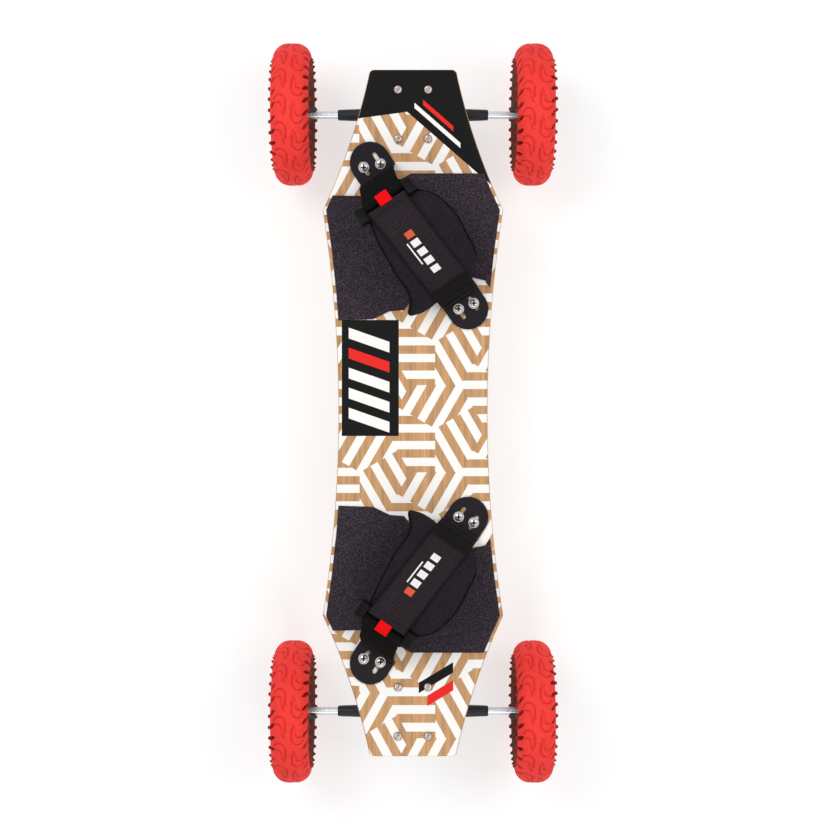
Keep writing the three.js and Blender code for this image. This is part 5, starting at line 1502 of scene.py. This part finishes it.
def make_screws():
    """Two screws through each anchor, with painted shade in the cross of each head."""
    spots = []
    for is_outer, stagger in ((True, 4.5), (False, -2.5)):
        spots += [from_anchor(is_outer, side * stagger, side * SCREW_ACROSS) for side in (-1, 1)]
    heads = [moved(screw_head(), Matrix.Translation((*spot, PLATE_TOP))) for spot in spots]
    screws = solid("anchor_screws", joined(*heads), bright_screw, 25)
    screws.data.materials.append(recess_dirt.material)
    for face in screws.data.polygons:
        x, y, z = face.center
        far = min(math.hypot(x - spot[0], y - spot[1]) for spot in spots)
        # The faces inside the cross recess get the painted shade.
        if far < 3.6 and 4.4 < z < PLATE_TOP + dome(far) - 0.7:
            face.material_index = 1
    return screws


def make_ring():
    """Two round bars between two lugs, each with three moulded ribs."""
    shapes = []
    for side in (-1, 1):
        bar = on_ring(side * BAR_FROM_MIDDLE, -BAR_HALF, 0)
        shapes.append(turned(rod(3.4, 0, 2 * BAR_HALF), 24, start=bar, axis=(0, 1, 0)))
        across = side * LUG_FROM_MIDDLE
        shapes.append(block((24.5, 15.2, 11), on_ring(0, across, 0), ring_turn, 2.6, 3))
        for along in (-6.4, 0, 6.4):
            shapes.append(block((2.4, 11.5, 2), on_ring(along, across, 5.3), ring_turn, 0.7))
    return solid("ring", joined(*shapes), ring_plastic, 30)


def row_across(share, lift, first, last):
    """A line across a band, just over its outer face."""
    places = [(t, lift(share, t / 29) + THREAD_OVER) for t in np.linspace(first, last, 14)]
    return [arch_point(share, skew_at(share) + t, -up) for t, up in places]


def sewn(lines, finish, pitch, length, radius):
    row = line_object("stitches", lines)
    return stitch_row.run(row, finish, Pitch=pitch, Length=length, Radius=radius)


def make_stitches():
    """Rows of pale thread hold the strap's doubled end by the ring. The thread along its edges and
    across the other ends is black."""
    tacks = [TACK_START + TACK_STEP * k for k in range(TACK_ROWS)]
    tacks = [row_across(share, strap_lift, -22, 20) for share in tacks]
    edge = [(s, strap_lift(s, 0.9) + THREAD_OVER) for s in np.linspace(0.375, 0.965, 60)]
    seams = [[arch_point(s, skew_at(s) + t, -up) for s, up in edge] for t in (-26.3, 26.3)]
    seams += [row_across(share, strap_lift, -26, 26) for share in (0.366, 0.875, 0.905)]
    seams += [row_across(share, lower_lift, -24, 24) for share in (0.062, 0.245)]
    return merged(sewn(tacks, thread, *STITCH), sewn(seams, dark_thread, *STITCH))


strap_shares = np.linspace(RING_SHARE + BAR_STEP, STRAP_END, 110)
strap, strap_length = band(
    "strap", strap_shares, strap_half, strap_lift, LABEL_FROM_RING, webbing_cloth
)
lower_shares = np.linspace(LOWER_START, RING_SHARE - BAR_STEP, 90)
lower, lower_length = band("lower", lower_shares, lower_half, lower_lift, NO_LABEL, lower_cloth)
pad = make_pad()
piping = line_object("piping", [pad_rim(pad)])
tab = block((18.5, 18.5, 1.8), on_ring(-2.5, 0, 7.2), ring_turn, 0.5)
tab_corners = [(-1, -1), (1, -1), (1, 1), (-1, 1), (-1, -1)]
tab_seam = [on_ring(a * 7 - 2.5, b * 7, 8.2) for a, b in tab_corners]
binding_parts = {
    "strap": (with_eye(strap, 1, webbing_cloth), "webbing", "strap"),
    "lower_webbing": (with_eye(lower, -1, lower_cloth), "webbing", "lower_webbing"),
    "ring": (make_ring(), "plastic", "strap_ring"),
    "pad": (pad, "pad", "pad"),
    "piping": (piping_line.run(piping, piping_cloth, Radius=PIPING_RADIUS), "pad"),
    "stitches": (make_stitches(), "webbing"),
    "pull_tab": (solid("tab", tab, tab_cloth), "webbing"),
    "tab_stitches": (sewn([tab_seam], tab_cloth, *TAB_STITCH), "webbing"),
}
for end, sign in (("front", 1), ("rear", -1)):
    place = Matrix.Translation((BINDING_START[0] * MM, BINDING_START[1] * MM, DECK_TOP))
    place = place @ Matrix.Rotation(BINDING_ANGLE, 4, "Z") @ Matrix.Scale(MM, 4)
    place = Matrix.Diagonal((1, sign, 1, 1)) @ place
    made = settle_copies(binding_parts, end, place, "deck_body")
    for which in ("outer_anchor", "inner_anchor"):
        anchor, node = make_anchor(which == "outer_anchor"), f"{end}_{which}"
        on_deck(anchor, node + "_look", sign, "plastic", node)
    on_deck(make_screws(), f"{end}_anchor_screws", sign, "steel")
clear_away(binding_parts)

visual_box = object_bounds()
boxes = {"cad": cad_box, "visual": visual_box}
